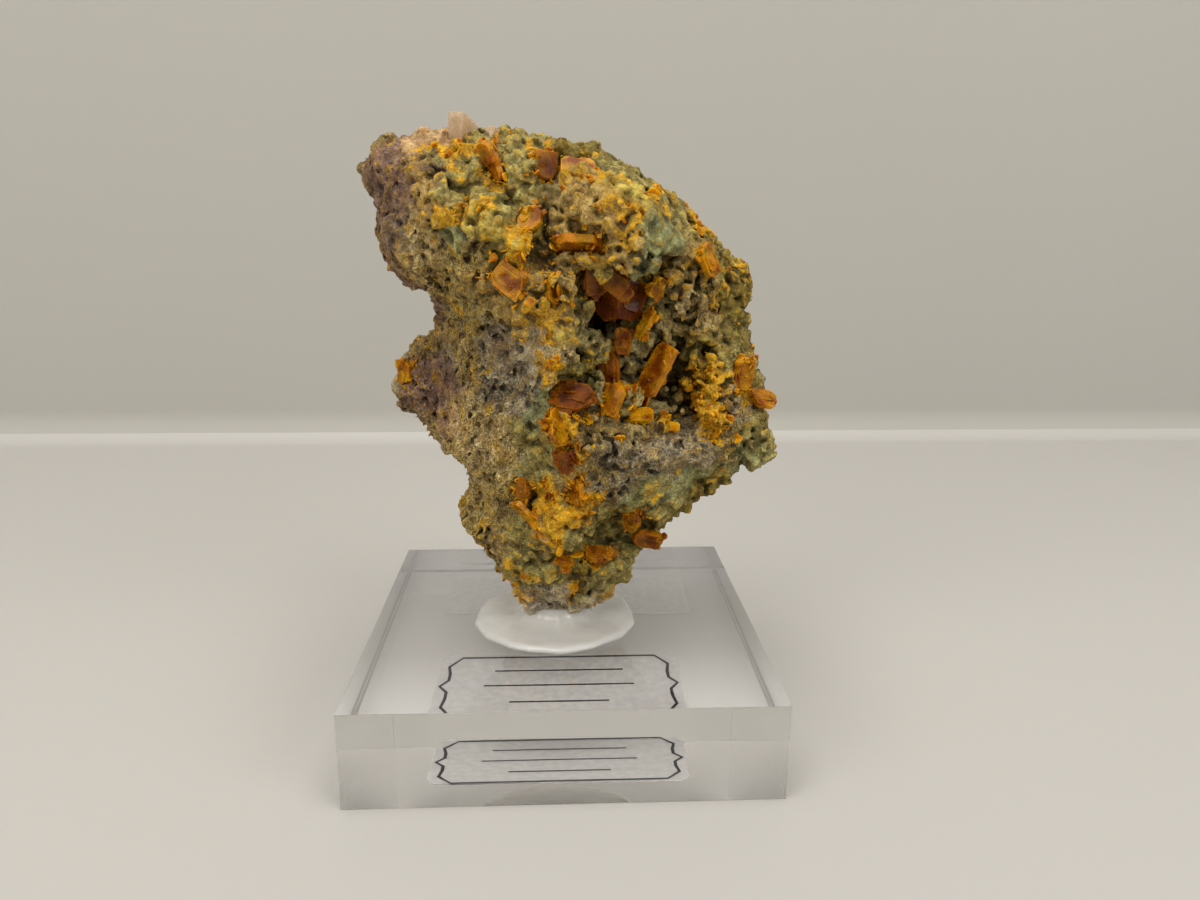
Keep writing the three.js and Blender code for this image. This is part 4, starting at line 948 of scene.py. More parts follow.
def point_normals(points, quads):
    normals = np.zeros_like(points)
    a, b, c, d = (points[quads[:, i]] for i in range(4))
    flat = np.cross(c - a, d - b)
    for i in range(4):
        for axis in range(3):
            normals[:, axis] += np.bincount(quads[:, i], flat[:, axis], len(points)).astype(np.float32)
    return normals / np.maximum(np.linalg.norm(normals, axis=1, keepdims=True), 1e-9)


def oriented_surface(field, values):
    """Points, quads and outward normals of the surface."""
    points, quads = field.to_surface(values)
    normals = point_normals(points, quads)
    step = 0.5 * VOXEL
    rise = field.sample(values, points + normals * step) - field.sample(values, points - normals * step)
    return points, quads, normals * np.sign(rise.mean())


def spread(rng, weights, count):
    """Picks points, more where the weight is high."""
    return rng.choice(len(weights), count, replace=False, p=weights / weights.sum())


def pockets(patches, rng):
    """Centres and radii of the balls that are cut away where the rock is hollow."""
    centres = [knob_middle(px, py, depth)[None] for px, py, depth, _ in CUT_SPOTS]
    radii = [np.array([radius]) for _, _, _, radius in CUT_SPOTS]
    for kind, centre, radius in patches:
        if kind == "hollow":
            centres.append(centre + rng.normal(0, radius * POCKET_SPREAD, (POCKET_BALLS, 3)))
            radii.append(radius * rng.uniform(*POCKET_RADII, POCKET_BALLS))
    return np.concatenate(centres), np.concatenate(radii)


def knobs(rng):
    """Centres and radii of the balls that make up the standing crust."""
    centres, radii = [], []
    for _, px, py, depth, reach, count in KNOB_SPOTS:
        centres.append(knob_middle(px, py, depth) + rng.normal(0, reach * KNOB_SPREAD, (count, 3)))
        radii.append(rng.uniform(*KNOB_RADII, count))
    return np.concatenate(centres), np.concatenate(radii)


def add_relief(field, values, kinds, crystal):
    near = np.nonzero(np.abs(values) < BAND)
    points = field.points_at(near)
    relief = surface_relief(points, kinds.at(points))
    free = np.clip((crystal[near] - CRYSTAL_ROOM) / RELIEF_FADE, 0, 1)
    values[near] -= np.where(relief > 0, relief * free, relief)


def add_lumps(field, values, kinds, crystal, rng):
    points, _, normals = oriented_surface(field, values)
    pick = spread(rng, kinds.at(points) @ kind_values("lumps"), LUMP_COUNT)
    radii = LUMP_RADIUS + LUMP_EXTRA * rng.random(LUMP_COUNT) ** LUMP_POWER
    centres = points[pick] - normals[pick] * (radii * LUMP_SINK)[:, None]
    field.stamp_clear(values, centres, radii, crystal, radii * LUMP_ROOM)


def add_beads(field, values, kinds, crystal, rng):
    points, _, normals = oriented_surface(field, values)
    shares = kinds.at(points)
    bead = kind_values("beads")
    pick = spread(rng, shares @ bead[:, 0], BEAD_COUNT)
    _, small, large = bead[shares.argmax(1)[pick]].T
    radii = small + (large - small) * rng.random(BEAD_COUNT) ** BEAD_POWER
    centres = points[pick] - normals[pick] * (radii * BEAD_SINK)[:, None]
    field.stamp_clear(values, centres, radii, crystal, radii * BEAD_ROOM)


# The rock's finished surface. Openness is below 1 in a crevice and above 1 on a ridge; crystal is the
# distance to the nearest crystal.
Crust = namedtuple("Crust", "points quads normals shares openness crystal")


def rock_surface():
    crystals = [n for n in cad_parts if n.startswith("crystal_") or n.startswith("pale_")]
    rock_points, rock_triangles = mesh_arrays("matrix_rock")
    tree = BVHTree.FromPolygons(rock_points.tolist(), rock_triangles.tolist())
    low, high = rock_points.min(0) - FIELD_MARGIN, rock_points.max(0) + FIELD_MARGIN
    field = Field(low, high)
    patches = surface_patches(tree)
    kinds = KindMap(patches, low, high)

    crystal_solids = [mesh_arrays(node) for node in crystals]
    together = field.from_solids(*joined([(rock_points, rock_triangles)] + crystal_solids))
    swollen, quads = field.to_surface(together, CLOSING)
    halves = np.concatenate([quads[:, [0, 1, 2]], quads[:, [0, 2, 3]]])
    values = field.from_solids(swollen, halves) + CLOSING
    crystal = field.from_solids(*joined(crystal_solids))

    rng = np.random.default_rng(5)
    add_relief(field, values, kinds, crystal)
    add_lumps(field, values, kinds, crystal, rng)
    field.stamp(values, *pockets(patches, rng), add=False)
    field.stamp_clear(values, *knobs(rng), crystal, KNOB_ROOM)
    add_beads(field, values, kinds, crystal, rng)
    near = np.nonzero(np.abs(values) < 3 * VOXEL)
    points = field.points_at(near)
    values[near] -= surface_grain(points, kinds.at(points))
    values = np.maximum(values, CRYSTAL_ROOM - crystal)

    points, quads, normals = oriented_surface(field, values)
    openness = field.sample(values, points + normals * OPEN_REACH) / OPEN_REACH
    loose = np.clip(field.sample(crystal, points) / LOOSE_REACH, 0, 1)[:, None]
    broad, fine = UNEVEN_WAVES
    points = points + (warped(warped(points, *broad), *fine) - points) * loose
    return Crust(points, quads, normals, kinds.at(points), openness, field.sample(crystal, points))


# ---------------------------------------------------------------- rock: pieces and material

SPLIT_Z = 47.0
# The rock's mesh is split at these heights, which keeps each piece small.
CUT_HEIGHTS = (33.0, SPLIT_Z, 59.0)
ROCK_PIECES = ("rock_bottom", "rock_lower", "rock_upper", "rock_top")
CUT_REACH = 3.0  # a cut's open edges lie within this distance of its height
CLOSE_TOGETHER = 1e-5
CELL_LEAN = (math.radians(20), math.radians(38), 0.0)
CELL_STRETCH = (1.0, 1.0, 0.62)
STAIN_EDGE = 0.22  # how soft the borders of the ochre stains are
WET_HEIGHTS = (15.2, 18.2)  # the glue's film covers the foot up to here
GRIT_HEIGHTS = (46.0, 62.0)  # the crust is gritty up to the first, and smoothest past the second
GRIT_SHARES = (1.0, 0.1)
BROAD_STAINS = (2.5, 52)  # spacing and seed
FINE_STAINS = (1.1, 53)
STAIN_RAGGED = (0.5, 1.2, 54)
RIDGE_STAIN = 0.8  # how much more a ridge is stained than a crevice
WET_WAVES = (1.6, 51)
WET_RISE = 0.9  # how unevenly the glue's film ends
BROWN_MOTTLE = "9C8050"
DARK_OCHRE = "AA7E10"
BRIGHT_OCHRE = "D6A018"
YELLOW_SPECKS = "BC920F"
DRIED_GLUE = "BCB09A"
CELL_WARP = (0.45 * MM,) * 3
DOME_SCALE = 1150.0  # domes in a metre
BEAD_SCALE = 2300.0
CELL_SCALE = 1750.0


def cut_cap(points, quads, height, facing_up):
    """Triangles that close a piece where its mesh was cut, all of them inside the rock."""
    sides = np.concatenate([quads[:, [i, (i + 1) % 4]] for i in range(4)])
    edges, uses = np.unique(np.sort(sides, axis=1), axis=0, return_counts=True)
    rim = edges[uses == 1]
    rim = rim[np.abs(points[rim, 2].mean(1) - height) < CUT_REACH]
    used, numbers = np.unique(rim, return_inverse=True)
    flat = points[used, :2]
    corners, _, triangles, sources, _, _ = delaunay_2d_cdt(
        [Vector(p) for p in flat.tolist()], numbers.reshape(-1, 2).tolist(), [], 2, CLOSE_TOGETHER)
    nearest = [
        group[0] if group else int(((flat - np.array(corner)) ** 2).sum(1).argmin())
        for corner, group in zip(corners, sources)]
    cap = np.array([[used[nearest[i]] for i in t[:3]] for t in triangles], np.int32)
    cap = cap[(cap[:, 0] != cap[:, 1]) & (cap[:, 1] != cap[:, 2]) & (cap[:, 2] != cap[:, 0])]
    return cap if facing_up else cap[:, ::-1]


def slab(crust, low, high):
    """The part of the surface between two heights as a closed mesh: points' numbers and triangles."""
    middle = crust.points[crust.quads, 2].mean(1)
    quads = crust.quads[(middle >= low) & (middle < high)]
    parts = [quads[:, [0, 1, 2]], quads[:, [0, 2, 3]]]
    if low in CUT_HEIGHTS:
        parts.append(cut_cap(crust.points, quads, low, False))
    if high in CUT_HEIGHTS:
        parts.append(cut_cap(crust.points, quads, high, True))
    used, renumbered = np.unique(np.concatenate(parts), return_inverse=True)
    return used, renumbered.reshape(-1, 3)


def rock_material():
    look = Look("crusted_rock")
    tint = look.node("Attribute", attribute_name="tint")["Color"]
    domed, celled, wet = look.value("domes"), look.value("cells"), look.value("wet")
    openness = look.value("openness")
    mottle = look.noise(700.0, 4.0)
    grain = look.noise(2600.0, 4.0)
    spots = look.noise(1100.0, 3.0)
    fine = look.noise(4800.0)
    shift = look.node("TexNoise", {"Vector": look.place, "Scale": 1500.0})["Color"]
    bend = {0: shift, 1: CELL_WARP, 2: look.place}
    warp = look.node("VectorMath", bend, operation="MULTIPLY_ADD")[0]
    leaning = look.node("Mapping", {"Vector": warp, "Rotation": CELL_LEAN, "Scale": CELL_STRETCH})["Vector"]
    domes = look.node("TexVoronoi", {"Vector": warp, "Scale": DOME_SCALE})["Distance"]
    beads = look.node("TexVoronoi", {"Vector": warp, "Scale": BEAD_SCALE})["Distance"]
    cells = {"Vector": leaning, "Scale": CELL_SCALE}
    pits = look.node("TexVoronoi", cells, feature="DISTANCE_TO_EDGE")["Distance"]

    # Colour: stained and mottled, ochre in specks and on ridges; painted shade darkens the pits, the middles
    # of cells, the seams between domes and the crevices.
    darker = look.times(tint, srgb(BROWN_MOTTLE))
    colour = look.mix(look.fit(mottle, 0.62, 0.40, 0.0, 0.6), tint, darker)
    crust = look.mix(look.fit(mottle, 0.38, 0.62, 0.0, 1.0), srgb(DARK_OCHRE), srgb(BRIGHT_OCHRE))
    stain = look.math("ADD", look.value("stain"), look.fit(grain, 0.3, 0.7, -0.5, 0.5))
    colour = look.mix(look.fit(stain, 0.2, 0.9, 0.0, 0.92), colour, crust)
    colour = look.times(colour, look.fit(grain, 0.3, 0.72, 0.66, 1.3))
    soft_glint = look.fit(fine, 0.35, 0.68, 0.84, 1.2)
    sharp_glint = look.fit(fine, 0.36, 0.66, 0.5, 1.52)
    colour = look.times(colour, look.mix(look.value("grit"), soft_glint, sharp_glint))
    speck = look.math("ADD", spots, look.fit(openness, 0.98, 1.3, 0.0, 0.16))
    speck = look.math("MULTIPLY", look.fit(speck, 0.55, 0.66, 0.0, 1.0), look.value("specks"))
    colour = look.mix(speck, colour, srgb(YELLOW_SPECKS))
    coated = look.math("MULTIPLY", wet, look.fit(mottle, 0.4, 0.6, 0.15, 0.65))
    colour = look.mix(coated, colour, srgb(DRIED_GLUE))
    # Painted shade: darker where domes meet, in the middles of cells and in crevices, a little lighter on
    # open surfaces.
    seam_shade = look.math("MULTIPLY", look.fit(domes, 0.45, 0.85, 0.0, 0.5), domed)
    pit_shade = look.math("MULTIPLY", look.fit(pits, 0.05, 0.24, 0.0, 0.45), celled)
    shade = look.math("SUBTRACT", 1.0, look.math("MAXIMUM", seam_shade, pit_shade))
    shade = look.math("MULTIPLY", shade, look.fit(openness, 0.2, 1.02, 0.36, 1.05))
    dull = look.math("MULTIPLY", look.fit(grain, 0.3, 0.7, 0.55, 0.8), look.fit(wet, 0.0, 1.0, 1.0, 0.25))

    # Relief finer than the mesh.
    rise = look.math("MULTIPLY", look.fit(domes, 0.0, 0.8, 0.6, 0.0), domed)
    small = look.math("MULTIPLY", look.fit(beads, 0.0, 0.8, 0.4, 0.0), domed)
    walls = look.math("MULTIPLY", look.fit(pits, 0.0, 0.25, 0.9, 0.0), celled)
    relief = look.math("ADD", look.math("ADD", rise, small), walls)
    relief = look.math("ADD", relief, look.math("MULTIPLY", grain, 0.5))
    return look.surface({
        "Base Color": look.times(colour, shade), "Specular IOR Level": 0.25, "Roughness": dull,
        "Normal": look.bump(fine, 0.09, 0.8, look.bump(relief, 0.3, 0.9))})


def crust_values(crust):
    """What the rock's material reads at each point."""
    points = crust.points
    patchy = 0.6 * noise_at(warped(points, *STAIN_RAGGED), *BROAD_STAINS)
    patchy += 0.4 * noise_at(points, *FINE_STAINS)
    patchy += RIDGE_STAIN * (crust.openness - 1) + crust.shares @ kind_values("stain")
    wetness = points[:, 2] + WET_RISE * noise_at(points, *WET_WAVES)
    values = {key: crust.shares @ kind_values(key) for key in ("specks", "domes", "cells")}
    values["openness"] = crust.openness
    values["stain"] = np.clip(patchy / STAIN_EDGE + 0.5, 0, 1)
    values["wet"] = np.interp(wetness, WET_HEIGHTS, (1.0, 0.0))
    gritty = np.interp(points[:, 2], GRIT_HEIGHTS, GRIT_SHARES)
    values["grit"] = gritty * (0.5 + 0.5 * values["cells"])
    return values


def add_rock():
    crust = rock_surface()
    values = crust_values(crust)
    # The kinds' tints, which hold the painted shade of the hollow patches.
    colour = crust.shares @ np.array([srgb(kind.tint) for kind in KINDS.values()], np.float32)
    material = rock_material()
    heights = (-math.inf,) + CUT_HEIGHTS + (math.inf,)
    for name, low, high in zip(ROCK_PIECES, heights[:-1], heights[1:]):
        used, triangles = slab(crust, low, high)
        obj = new_object(name, crust.points[used], triangles, material)
        add_values(obj, {key: numbers[used] for key, numbers in values.items()})
        layer = obj.data.attributes.new("tint", "FLOAT_COLOR", "POINT")
        layer.data.foreach_set("color", colour[used].ravel())
        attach(obj, ROOT)
        if name == "rock_upper":
            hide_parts("matrix_rock")
    add_druse(crust)


# ---------------------------------------------------------------- crystals

# Each wulfenite crystal and the tablets that it is made of: the centre, the size (length, width,
# thickness), the direction of the length and the direction that the plate faces.
TABLETS = {
    "upper_blade": [((-7.9, -9.6, 71.0), (4.6, 3.6, 1.0), (0.44, 0, -0.9), (-0.86, -0.36, -0.36))],
    "upper_amber": [((-2.0, -10.0, 70.6), (3.2, 2.6, 1.0), (0.1, 0.3, 1), (0.25, -0.95, 0.1))],
    "upper_salmon": [((1.8, -9.8, 70.0), (4.2, 3.6, 1.1), (1, 0.1, -0.1), (0.1, -0.75, 0.66))],
    "front_orange": [((-3.5, -13.2, 64.8), (2.8, 2.4, 1.0), (0.7, 0, 0.7), (-0.3, -0.9, 0.3))],
    "salmon_plate": [((-5.9, -14.9, 58.3), (4.0, 3.0, 1.0), (0.8, 0, -0.6), (-0.2, -0.95, 0.2))],
    "rib_tablet": [((-1.2, -14.0, 57.0), (2.8, 2.2, 0.9), (0.2, 0, 1), (0.8, -0.55, 0.1))],
    "shelf_plate": [((1.8, -13.4, 62.0), (5.2, 4.2, 1.1), (1, 0, -0.2), (0, -0.42, -0.9))],
    "vug_broad": [
        ((3.8, -9.8, 58.2), (4.4, 3.4, 1.1), (0.1, -0.1, -1), (0.3, -0.95, -0.1)),
        ((6.2, -10.7, 57.6), (4.4, 2.6, 0.9), (0.75, -0.1, -0.65), (-0.3, -0.9, -0.3))],
    "vug_pair": [
        ((5.4, -7.8, 55.2), (4.2, 2.9, 1.2), (0, 0, 1), (-0.4, -0.92, 0)),
        ((8.0, -7.6, 55.4), (4.6, 3.4, 1.2), (0.3, 0, 0.95), (0.35, -0.94, 0.1))],
    "vug_pillar": [((7.1, -8.8, 50.9), (3.2, 2.0, 1.1), (0.12, 0, 1), (-0.2, -0.98, 0))],
    "vug_thin": [((9.7, -9.6, 53.0), (3.8, 2.6, 0.6), (0.48, 0, 0.88), (-0.84, -0.3, 0.45))],
    "vug_yellow": [((10.9, -9.2, 57.2), (2.6, 1.8, 0.8), (0.5, 0, 0.86), (0.5, -0.8, -0.3))],
    "big_blade": [((10.9, -8.6, 46.9), (7.9, 3.1, 1.2), (0.46, -0.05, 0.88), (-0.72, -0.62, 0.3))],
    "mid_lilac": [((5.6, -7.6, 47.6), (4.0, 2.4, 1.0), (0, 0.1, 1), (-0.35, -0.93, 0))],
    "floor_brown": [((1.2, -12.0, 44.8), (4.4, 3.4, 1.3), (0.95, 0, -0.2), (-0.15, -0.85, 0.5))],
    "floor_orange": [((5.8, -11.2, 44.4), (3.9, 2.5, 1.2), (0.35, 0, 0.93), (-0.6, -0.75, 0.25))],
    "floor_small": [((9.2, -10.4, 42.2), (3.0, 2.2, 0.8), (0.95, 0, 0.1), (0, -0.6, 0.8))],
    "right_top": [((17.3, -6.2, 60.2), (3.8, 3.0, 1.0), (0.5, 0, -0.86), (0.75, -0.6, 0.3))],
    "right_edge": [((22.8, -3.4, 46.0), (4.4, 3.0, 1.0), (0.2, 0, 1), (0.5, -0.86, 0))],
    "right_tip": [((25.9, -1.4, 42.4), (3.4, 3.0, 0.9), (1, 0.1, -0.2), (0.2, -0.5, 0.85))],
    "ridge_blade": [((-0.9, -15.0, 41.6), (4.2, 3.2, 0.8), (0.35, 0, -0.93), (0.86, -0.4, 0.3))],
    "ridge_brown": [((0.0, -14.4, 37.9), (2.8, 2.4, 1.0), (0.4, 0, -0.9), (-0.45, -0.88, -0.2))],
    "ridge_rust": [((1.3, -12.8, 33.7), (3.4, 2.6, 0.9), (0, 0.1, 1), (-0.8, -0.6, 0))],
    "left_brown": [((-5.0, -10.2, 32.9), (2.4, 1.9, 0.8), (-0.3, 0, 0.95), (-0.6, -0.8, 0))],
    "left_blade": [((-4.6, -10.2, 29.9), (4.0, 2.8, 0.8), (0.65, 0, -0.75), (-0.66, -0.45, -0.6))],
    "lower_blade": [((8.6, -6.6, 28.6), (4.8, 2.4, 0.9), (0.05, 0.2, -1), (-0.6, -0.8, 0))],
    "lower_brown": [((10.9, -5.6, 24.8), (3.8, 2.8, 1.0), (0.95, 0.1, -0.2), (-0.1, -0.85, -0.5))],
    "lower_slab": [((4.6, -6.6, 23.2), (3.8, 2.6, 0.9), (1, 0, 0.15), (0, -0.4, 0.9))],
    "lower_small": [((-0.2, -9.6, 23.4), (2.2, 1.8, 0.8), (0.8, 0, -0.5), (0.2, -0.5, 0.85))],
    "lobe_orange": [((-21.2, 5.4, 45.0), (3.0, 2.4, 1.0), (0, 0.2, 1), (-0.6, -0.75, 0.2))],
    "back_upper": [((-1.4, 15.2, 57.2), (5.4, 4.2, 1.2), (0.5, 0.2, 0.8), (-0.5, 0.8, 0.2))],
    "back_middle": [((3.6, 16.6, 52.2), (4.4, 3.4, 1.0), (0.9, 0, -0.3), (0.1, 0.9, 0.5))],
    "back_lower": [((9.2, 15.2, 38.8), (4.6, 3.6, 1.1), (0.3, 0.2, 0.9), (0.7, 0.7, -0.1))],
}

# How yellow a crystal's faces are, from 0, honey brown, to 1, yellow; how pink; and how much painted shade
# darkens them, for crystals far inside the vug.
PLAIN = (0.25, 0.0, 0.0)
FACES = {
    "upper_blade": (0.25, 0.3, 0.0), "upper_amber": (0.35, 0.0, 0.4), "upper_salmon": (0.7, 0.0, 0.0),
    "front_orange": (0.7, 0.0, 0.0), "salmon_plate": (0.6, 0.2, 0.0), "shelf_plate": (0.25, 0.0, 0.15),
    "vug_broad": (0.25, 0.0, 0.35), "vug_pair": (0.0, 0.1, 0.75), "vug_pillar": (0.25, 0.0, 0.3),
    "vug_thin": (0.6, 0.0, 0.0), "vug_yellow": (0.75, 0.0, 0.0), "mid_lilac": (0.0, 0.3, 0.3),
    "floor_brown": (0.1, 0.0, 0.55), "floor_orange": (0.4, 0.0, 0.0), "floor_small": (0.7, 0.0, 0.0),
    "right_top": (0.55, 0.0, 0.0), "right_edge": (0.5, 0.0, 0.0), "right_tip": (0.45, 0.7, 0.0),
    "ridge_blade": (0.6, 0.0, 0.0), "ridge_brown": (0.1, 0.0, 0.5), "left_brown": (0.25, 0.0, 0.5),
    "left_blade": (0.55, 0.0, 0.0), "lower_blade": (0.35, 0.0, 0.0), "lower_brown": (0.25, 0.0, 0.4),
    "lower_slab": (0.25, 0.7, 0.0), "lobe_orange": (0.6, 0.0, 0.0),
}

OUTLINE_COUNTS = (9, 3, 7, 3, 9, 3, 7, 3)  # points along each side and across each cut corner, in turn
CORNER_CUT = 0.2  # cut off each corner, as a share of the shorter side
CUT_SPREAD = (0.1, 1.9)  # how unequal the cuts are
BREAKS = 2  # pieces broken off each outline
BREAK_REACH = (0.7, 0.98)  # how far out a break lies
CHIP_DEPTH = 0.07
DEEP_CHIP = 0.9  # a chip past this is twice as deep, and one below it is shallow
SHALLOW_CHIP = 0.4
WEDGE = 0.4  # the most that a plate is thinner at one end and thicker at the other
RINGS = (  # inset from the rim in millimetres, height as a share of half the thickness, edge glow (painted light)
    (0.9, 1.0, 0.0), (0.42, 1.0, 0.1), (0.16, 1.0, 0.45), (0.06, 1.0, 0.9), (0.0, 0.8, 1.0),
    (0.0, -0.8, 1.0), (0.06, -1.0, 0.9), (0.16, -1.0, 0.45), (0.42, -1.0, 0.1), (0.9, -1.0, 0.0),
)
THINNER = 0.8  # the plates are this much thinner than the solids that stand for them
# A growth step covers part of each plate and stands out of both its faces.
STEP_SHARE = (0.45, 0.8)  # of the plate's length and width
STEP_RISE = (0.1, 0.2)
STEP_SHIFT = 1.1
# A thinner plate has grown on one face, nearly in line with it.
SIDE_SHARE = (0.6, 0.92)
SIDE_FLAT = 0.3  # of the plate's thickness
SIDE_SHIFT = 1.4
SIDE_LEAN = 0.1
# Blades have grown through each plate, at an angle to it.
BLADE_COUNT = 3
BLADE_SHARE = (0.3, 0.55)
BLADE_THICKNESS = (0.22, 0.42)
BLADE_SHIFT = 0.85
BLADE_SINK = 0.25
BLADE_LEAN = (0.35, 1.2)
RIM_GROWTH = 34  # small tablets on the rims of each crystal
RIM_HALF = (0.14, 0.5)  # their smallest and largest half width
RIM_LENGTH = (0.9, 1.6)  # their length and thickness, as shares of their width
RIM_FLAT = (0.2, 0.5)
RIM_LEAN = 0.7
RIM_EDGE = 0.05  # they sit where the painted edge glow is above this
CRYSTAL_SHARP = math.radians(24)
HONEY_FACE = "A85804"
YELLOW_FACE = "DE9C08"
PINK_FACE = "C47420"
HONEY_RIM_GLOW = "CC8008"
YELLOW_RIM_GLOW = "E4A814"
CLOUDED = "8C5C38"
VUG_SHADE_TINT = "8A6440"


def tablet_axes(along, facing):
    normal = Vector(facing).normalized()
    length = Vector(along)
    length = (length - normal * length.dot(normal)).normalized()
    return np.array([length, normal.cross(length), normal])


def tablet_outline(half_length, half_width, rng):
    """A rectangle with cut corners, broken off along two chords, its edge slightly chipped."""
    cut = 2 * min(half_length, half_width) * CORNER_CUT * rng.uniform(*CUT_SPREAD, 4)
    x, y = half_length, half_width
    corners = [
        (x, -y + cut[0]), (x, y - cut[1]), (x - cut[1], y), (-x + cut[2], y),
        (-x, y - cut[2]), (-x, -y + cut[3]), (-x + cut[3], -y), (x - cut[0], -y)]
    points = []
    for start, end, count in zip(corners, corners[1:] + corners[:1], OUTLINE_COUNTS):
        share = np.arange(count)[:, None] / count
        points.append(np.array(start) * (1 - share) + np.array(end) * share)
    outline = np.concatenate(points)
    for _ in range(BREAKS):
        turn = rng.uniform(0, 2 * math.pi)
        away = np.array([math.cos(turn), math.sin(turn)])
        reach = outline @ away
        over = np.maximum(reach - reach.max() * rng.uniform(*BREAK_REACH), 0)
        outline = outline - over[:, None] * away
    chips = rng.normal(0, 1, len(outline))
    chips = (chips + np.roll(chips, 1)) * 0.5
    chips = np.where(chips > DEEP_CHIP, chips * 2.0, np.abs(chips) * SHALLOW_CHIP)
    return outline - outline / np.linalg.norm(outline, axis=1, keepdims=True) * (chips * CHIP_DEPTH)[:, None]


def tablet_mesh(centre, size, axes, rng):
    """Points, triangles, painted edge glow and distance across for one tablet."""
    half = np.array(size) / 2
    outline = tablet_outline(half[0], half[1], rng)
    around = len(outline)
    rings = []
    for inset, height, _ in RINGS:
        ring = outline * (1 - min(inset, 0.8 * half[1]) / half[:2])
        rings.append(np.column_stack([ring, np.full(around, height * half[2])]))
    points, triangles = closed_rings(rings, (0, 0, half[2]), (0, 0, -half[2]))
    points[:, 2] *= 1 - rng.uniform(-WEDGE, WEDGE) * points[:, 0] / half[0]
    edge = np.append(np.repeat([tint for _, _, tint in RINGS], around), [0, 0])
    return points @ axes + np.array(centre), triangles, edge, points[:, 1]


def turned(axes, angle, rng):
    """The axes turned by an angle round a random direction in the plate."""
    pivot = axes[0] * rng.normal() + axes[1] * rng.normal()
    turn = Matrix.Rotation(angle, 3, Vector(pivot).normalized())
    return np.array([turn @ Vector(a) for a in axes])


def grown_crystal(tablets, rng):
    """A crystal's tablets, each with a growth step, a side plate and small blades grown through it."""
    parts = []
    for centre, size, along, facing in tablets:
        centre, axes = np.array(centre), tablet_axes(along, facing)
        size = np.array(size) * (1, 1, THINNER)
        parts.append(tablet_mesh(centre, size, axes, rng))
        step = np.append(size[:2] * rng.uniform(*STEP_SHARE, 2), size[2] + rng.uniform(*STEP_RISE))
        shift = np.append((size[:2] - step[:2]) / 2 * rng.uniform(-STEP_SHIFT, STEP_SHIFT, 2), 0)
        parts.append(tablet_mesh(centre + shift @ axes, step, axes, rng))
        out = rng.choice([-1, 1]) * size[2] * 0.5
        thin = np.append(size[:2] * rng.uniform(*SIDE_SHARE, 2), size[2] * SIDE_FLAT)
        shift = np.append((size[:2] - thin[:2]) / 2 * rng.uniform(-SIDE_SHIFT, SIDE_SHIFT, 2), out)
        leaning = turned(axes, rng.uniform(-SIDE_LEAN, SIDE_LEAN), rng)
        parts.append(tablet_mesh(centre + shift @ axes, thin, leaning, rng))
        for _ in range(BLADE_COUNT):
            blade = np.append(size[:2] * rng.uniform(*BLADE_SHARE, 2), rng.uniform(*BLADE_THICKNESS))
            shift = np.append(size[:2] / 2 * rng.uniform(-BLADE_SHIFT, BLADE_SHIFT, 2), -BLADE_SINK)
            leaning = turned(axes, rng.uniform(*BLADE_LEAN) * rng.choice([-1, 1]), rng)
            parts.append(tablet_mesh(centre + shift @ axes, blade, leaning, rng))
    return joined(parts)


def rim_growth(points, edge, axes, rng):
    """Small tablets that sit on a crystal's rims, nearly in line with it."""
    template, triangles, tint = druse_template(BLADE["cut"])
    rim = points[edge > RIM_EDGE]
    small, large = RIM_HALF
    parts = []
    for centre in rim[rng.choice(len(rim), RIM_GROWTH)]:
        half = small + (large - small) * rng.random() ** 2
        size = half * np.array([rng.uniform(*RIM_LENGTH), 1.0, rng.uniform(*RIM_FLAT)])
        lean = turned(axes, rng.normal(0, RIM_LEAN), rng)
        parts.append((template * size @ lean + centre, triangles, tint, template[:, 1]))
    return joined(parts)


def wulfenite_material(name, clearness):
    look = Look(name)
    hue = look.value("hue")
    cloud = look.noise(600.0, 3.0)
    grain = look.noise(3000.0)
    lines = {"W": look.value("across"), "Scale": 4.0, "Detail": 4.0}
    stripe = look.node("TexNoise", lines, noise_dimensions="1D")["Fac"]
    face = look.mix(hue, srgb(HONEY_FACE), srgb(YELLOW_FACE))
    face = look.mix(look.value("pink"), face, srgb(PINK_FACE))
    face = look.mix(look.fit(cloud, 0.64, 0.36, 0.0, 0.9), face, look.times(face, srgb(CLOUDED)))
    face = look.times(face, look.fit(stripe, 0.3, 0.7, 0.95, 1.05))
    # Painted light: the rims glow yellow, as if lit through, in patches along the edge.
    rim = look.mix(hue, srgb(HONEY_RIM_GLOW), srgb(YELLOW_RIM_GLOW))
    light = look.math("MULTIPLY", look.value("edge"), look.fit(cloud, 0.35, 0.6, 0.1, 0.85))
    face = look.mix(light, face, rim)
    # Painted shade: faces of crystals far inside the vug are darkened by their shade value.
    return look.surface({
        "Base Color": look.mix(look.value("vug_shade"), face, look.times(face, srgb(VUG_SHADE_TINT))),
        "Roughness": look.fit(grain, 0.3, 0.7, 0.16, 0.34),
        "IOR": 1.45, "Specular IOR Level": 0.12, "Transmission Weight": clearness,
        "Subsurface Weight": 0.5, "Subsurface Radius": (1.0, 0.4, 0.06), "Subsurface Scale": 0.8 * MM,
        "Normal": look.bump(grain, 0.03, 0.6, look.bump(stripe, 0.03, 0.5))})


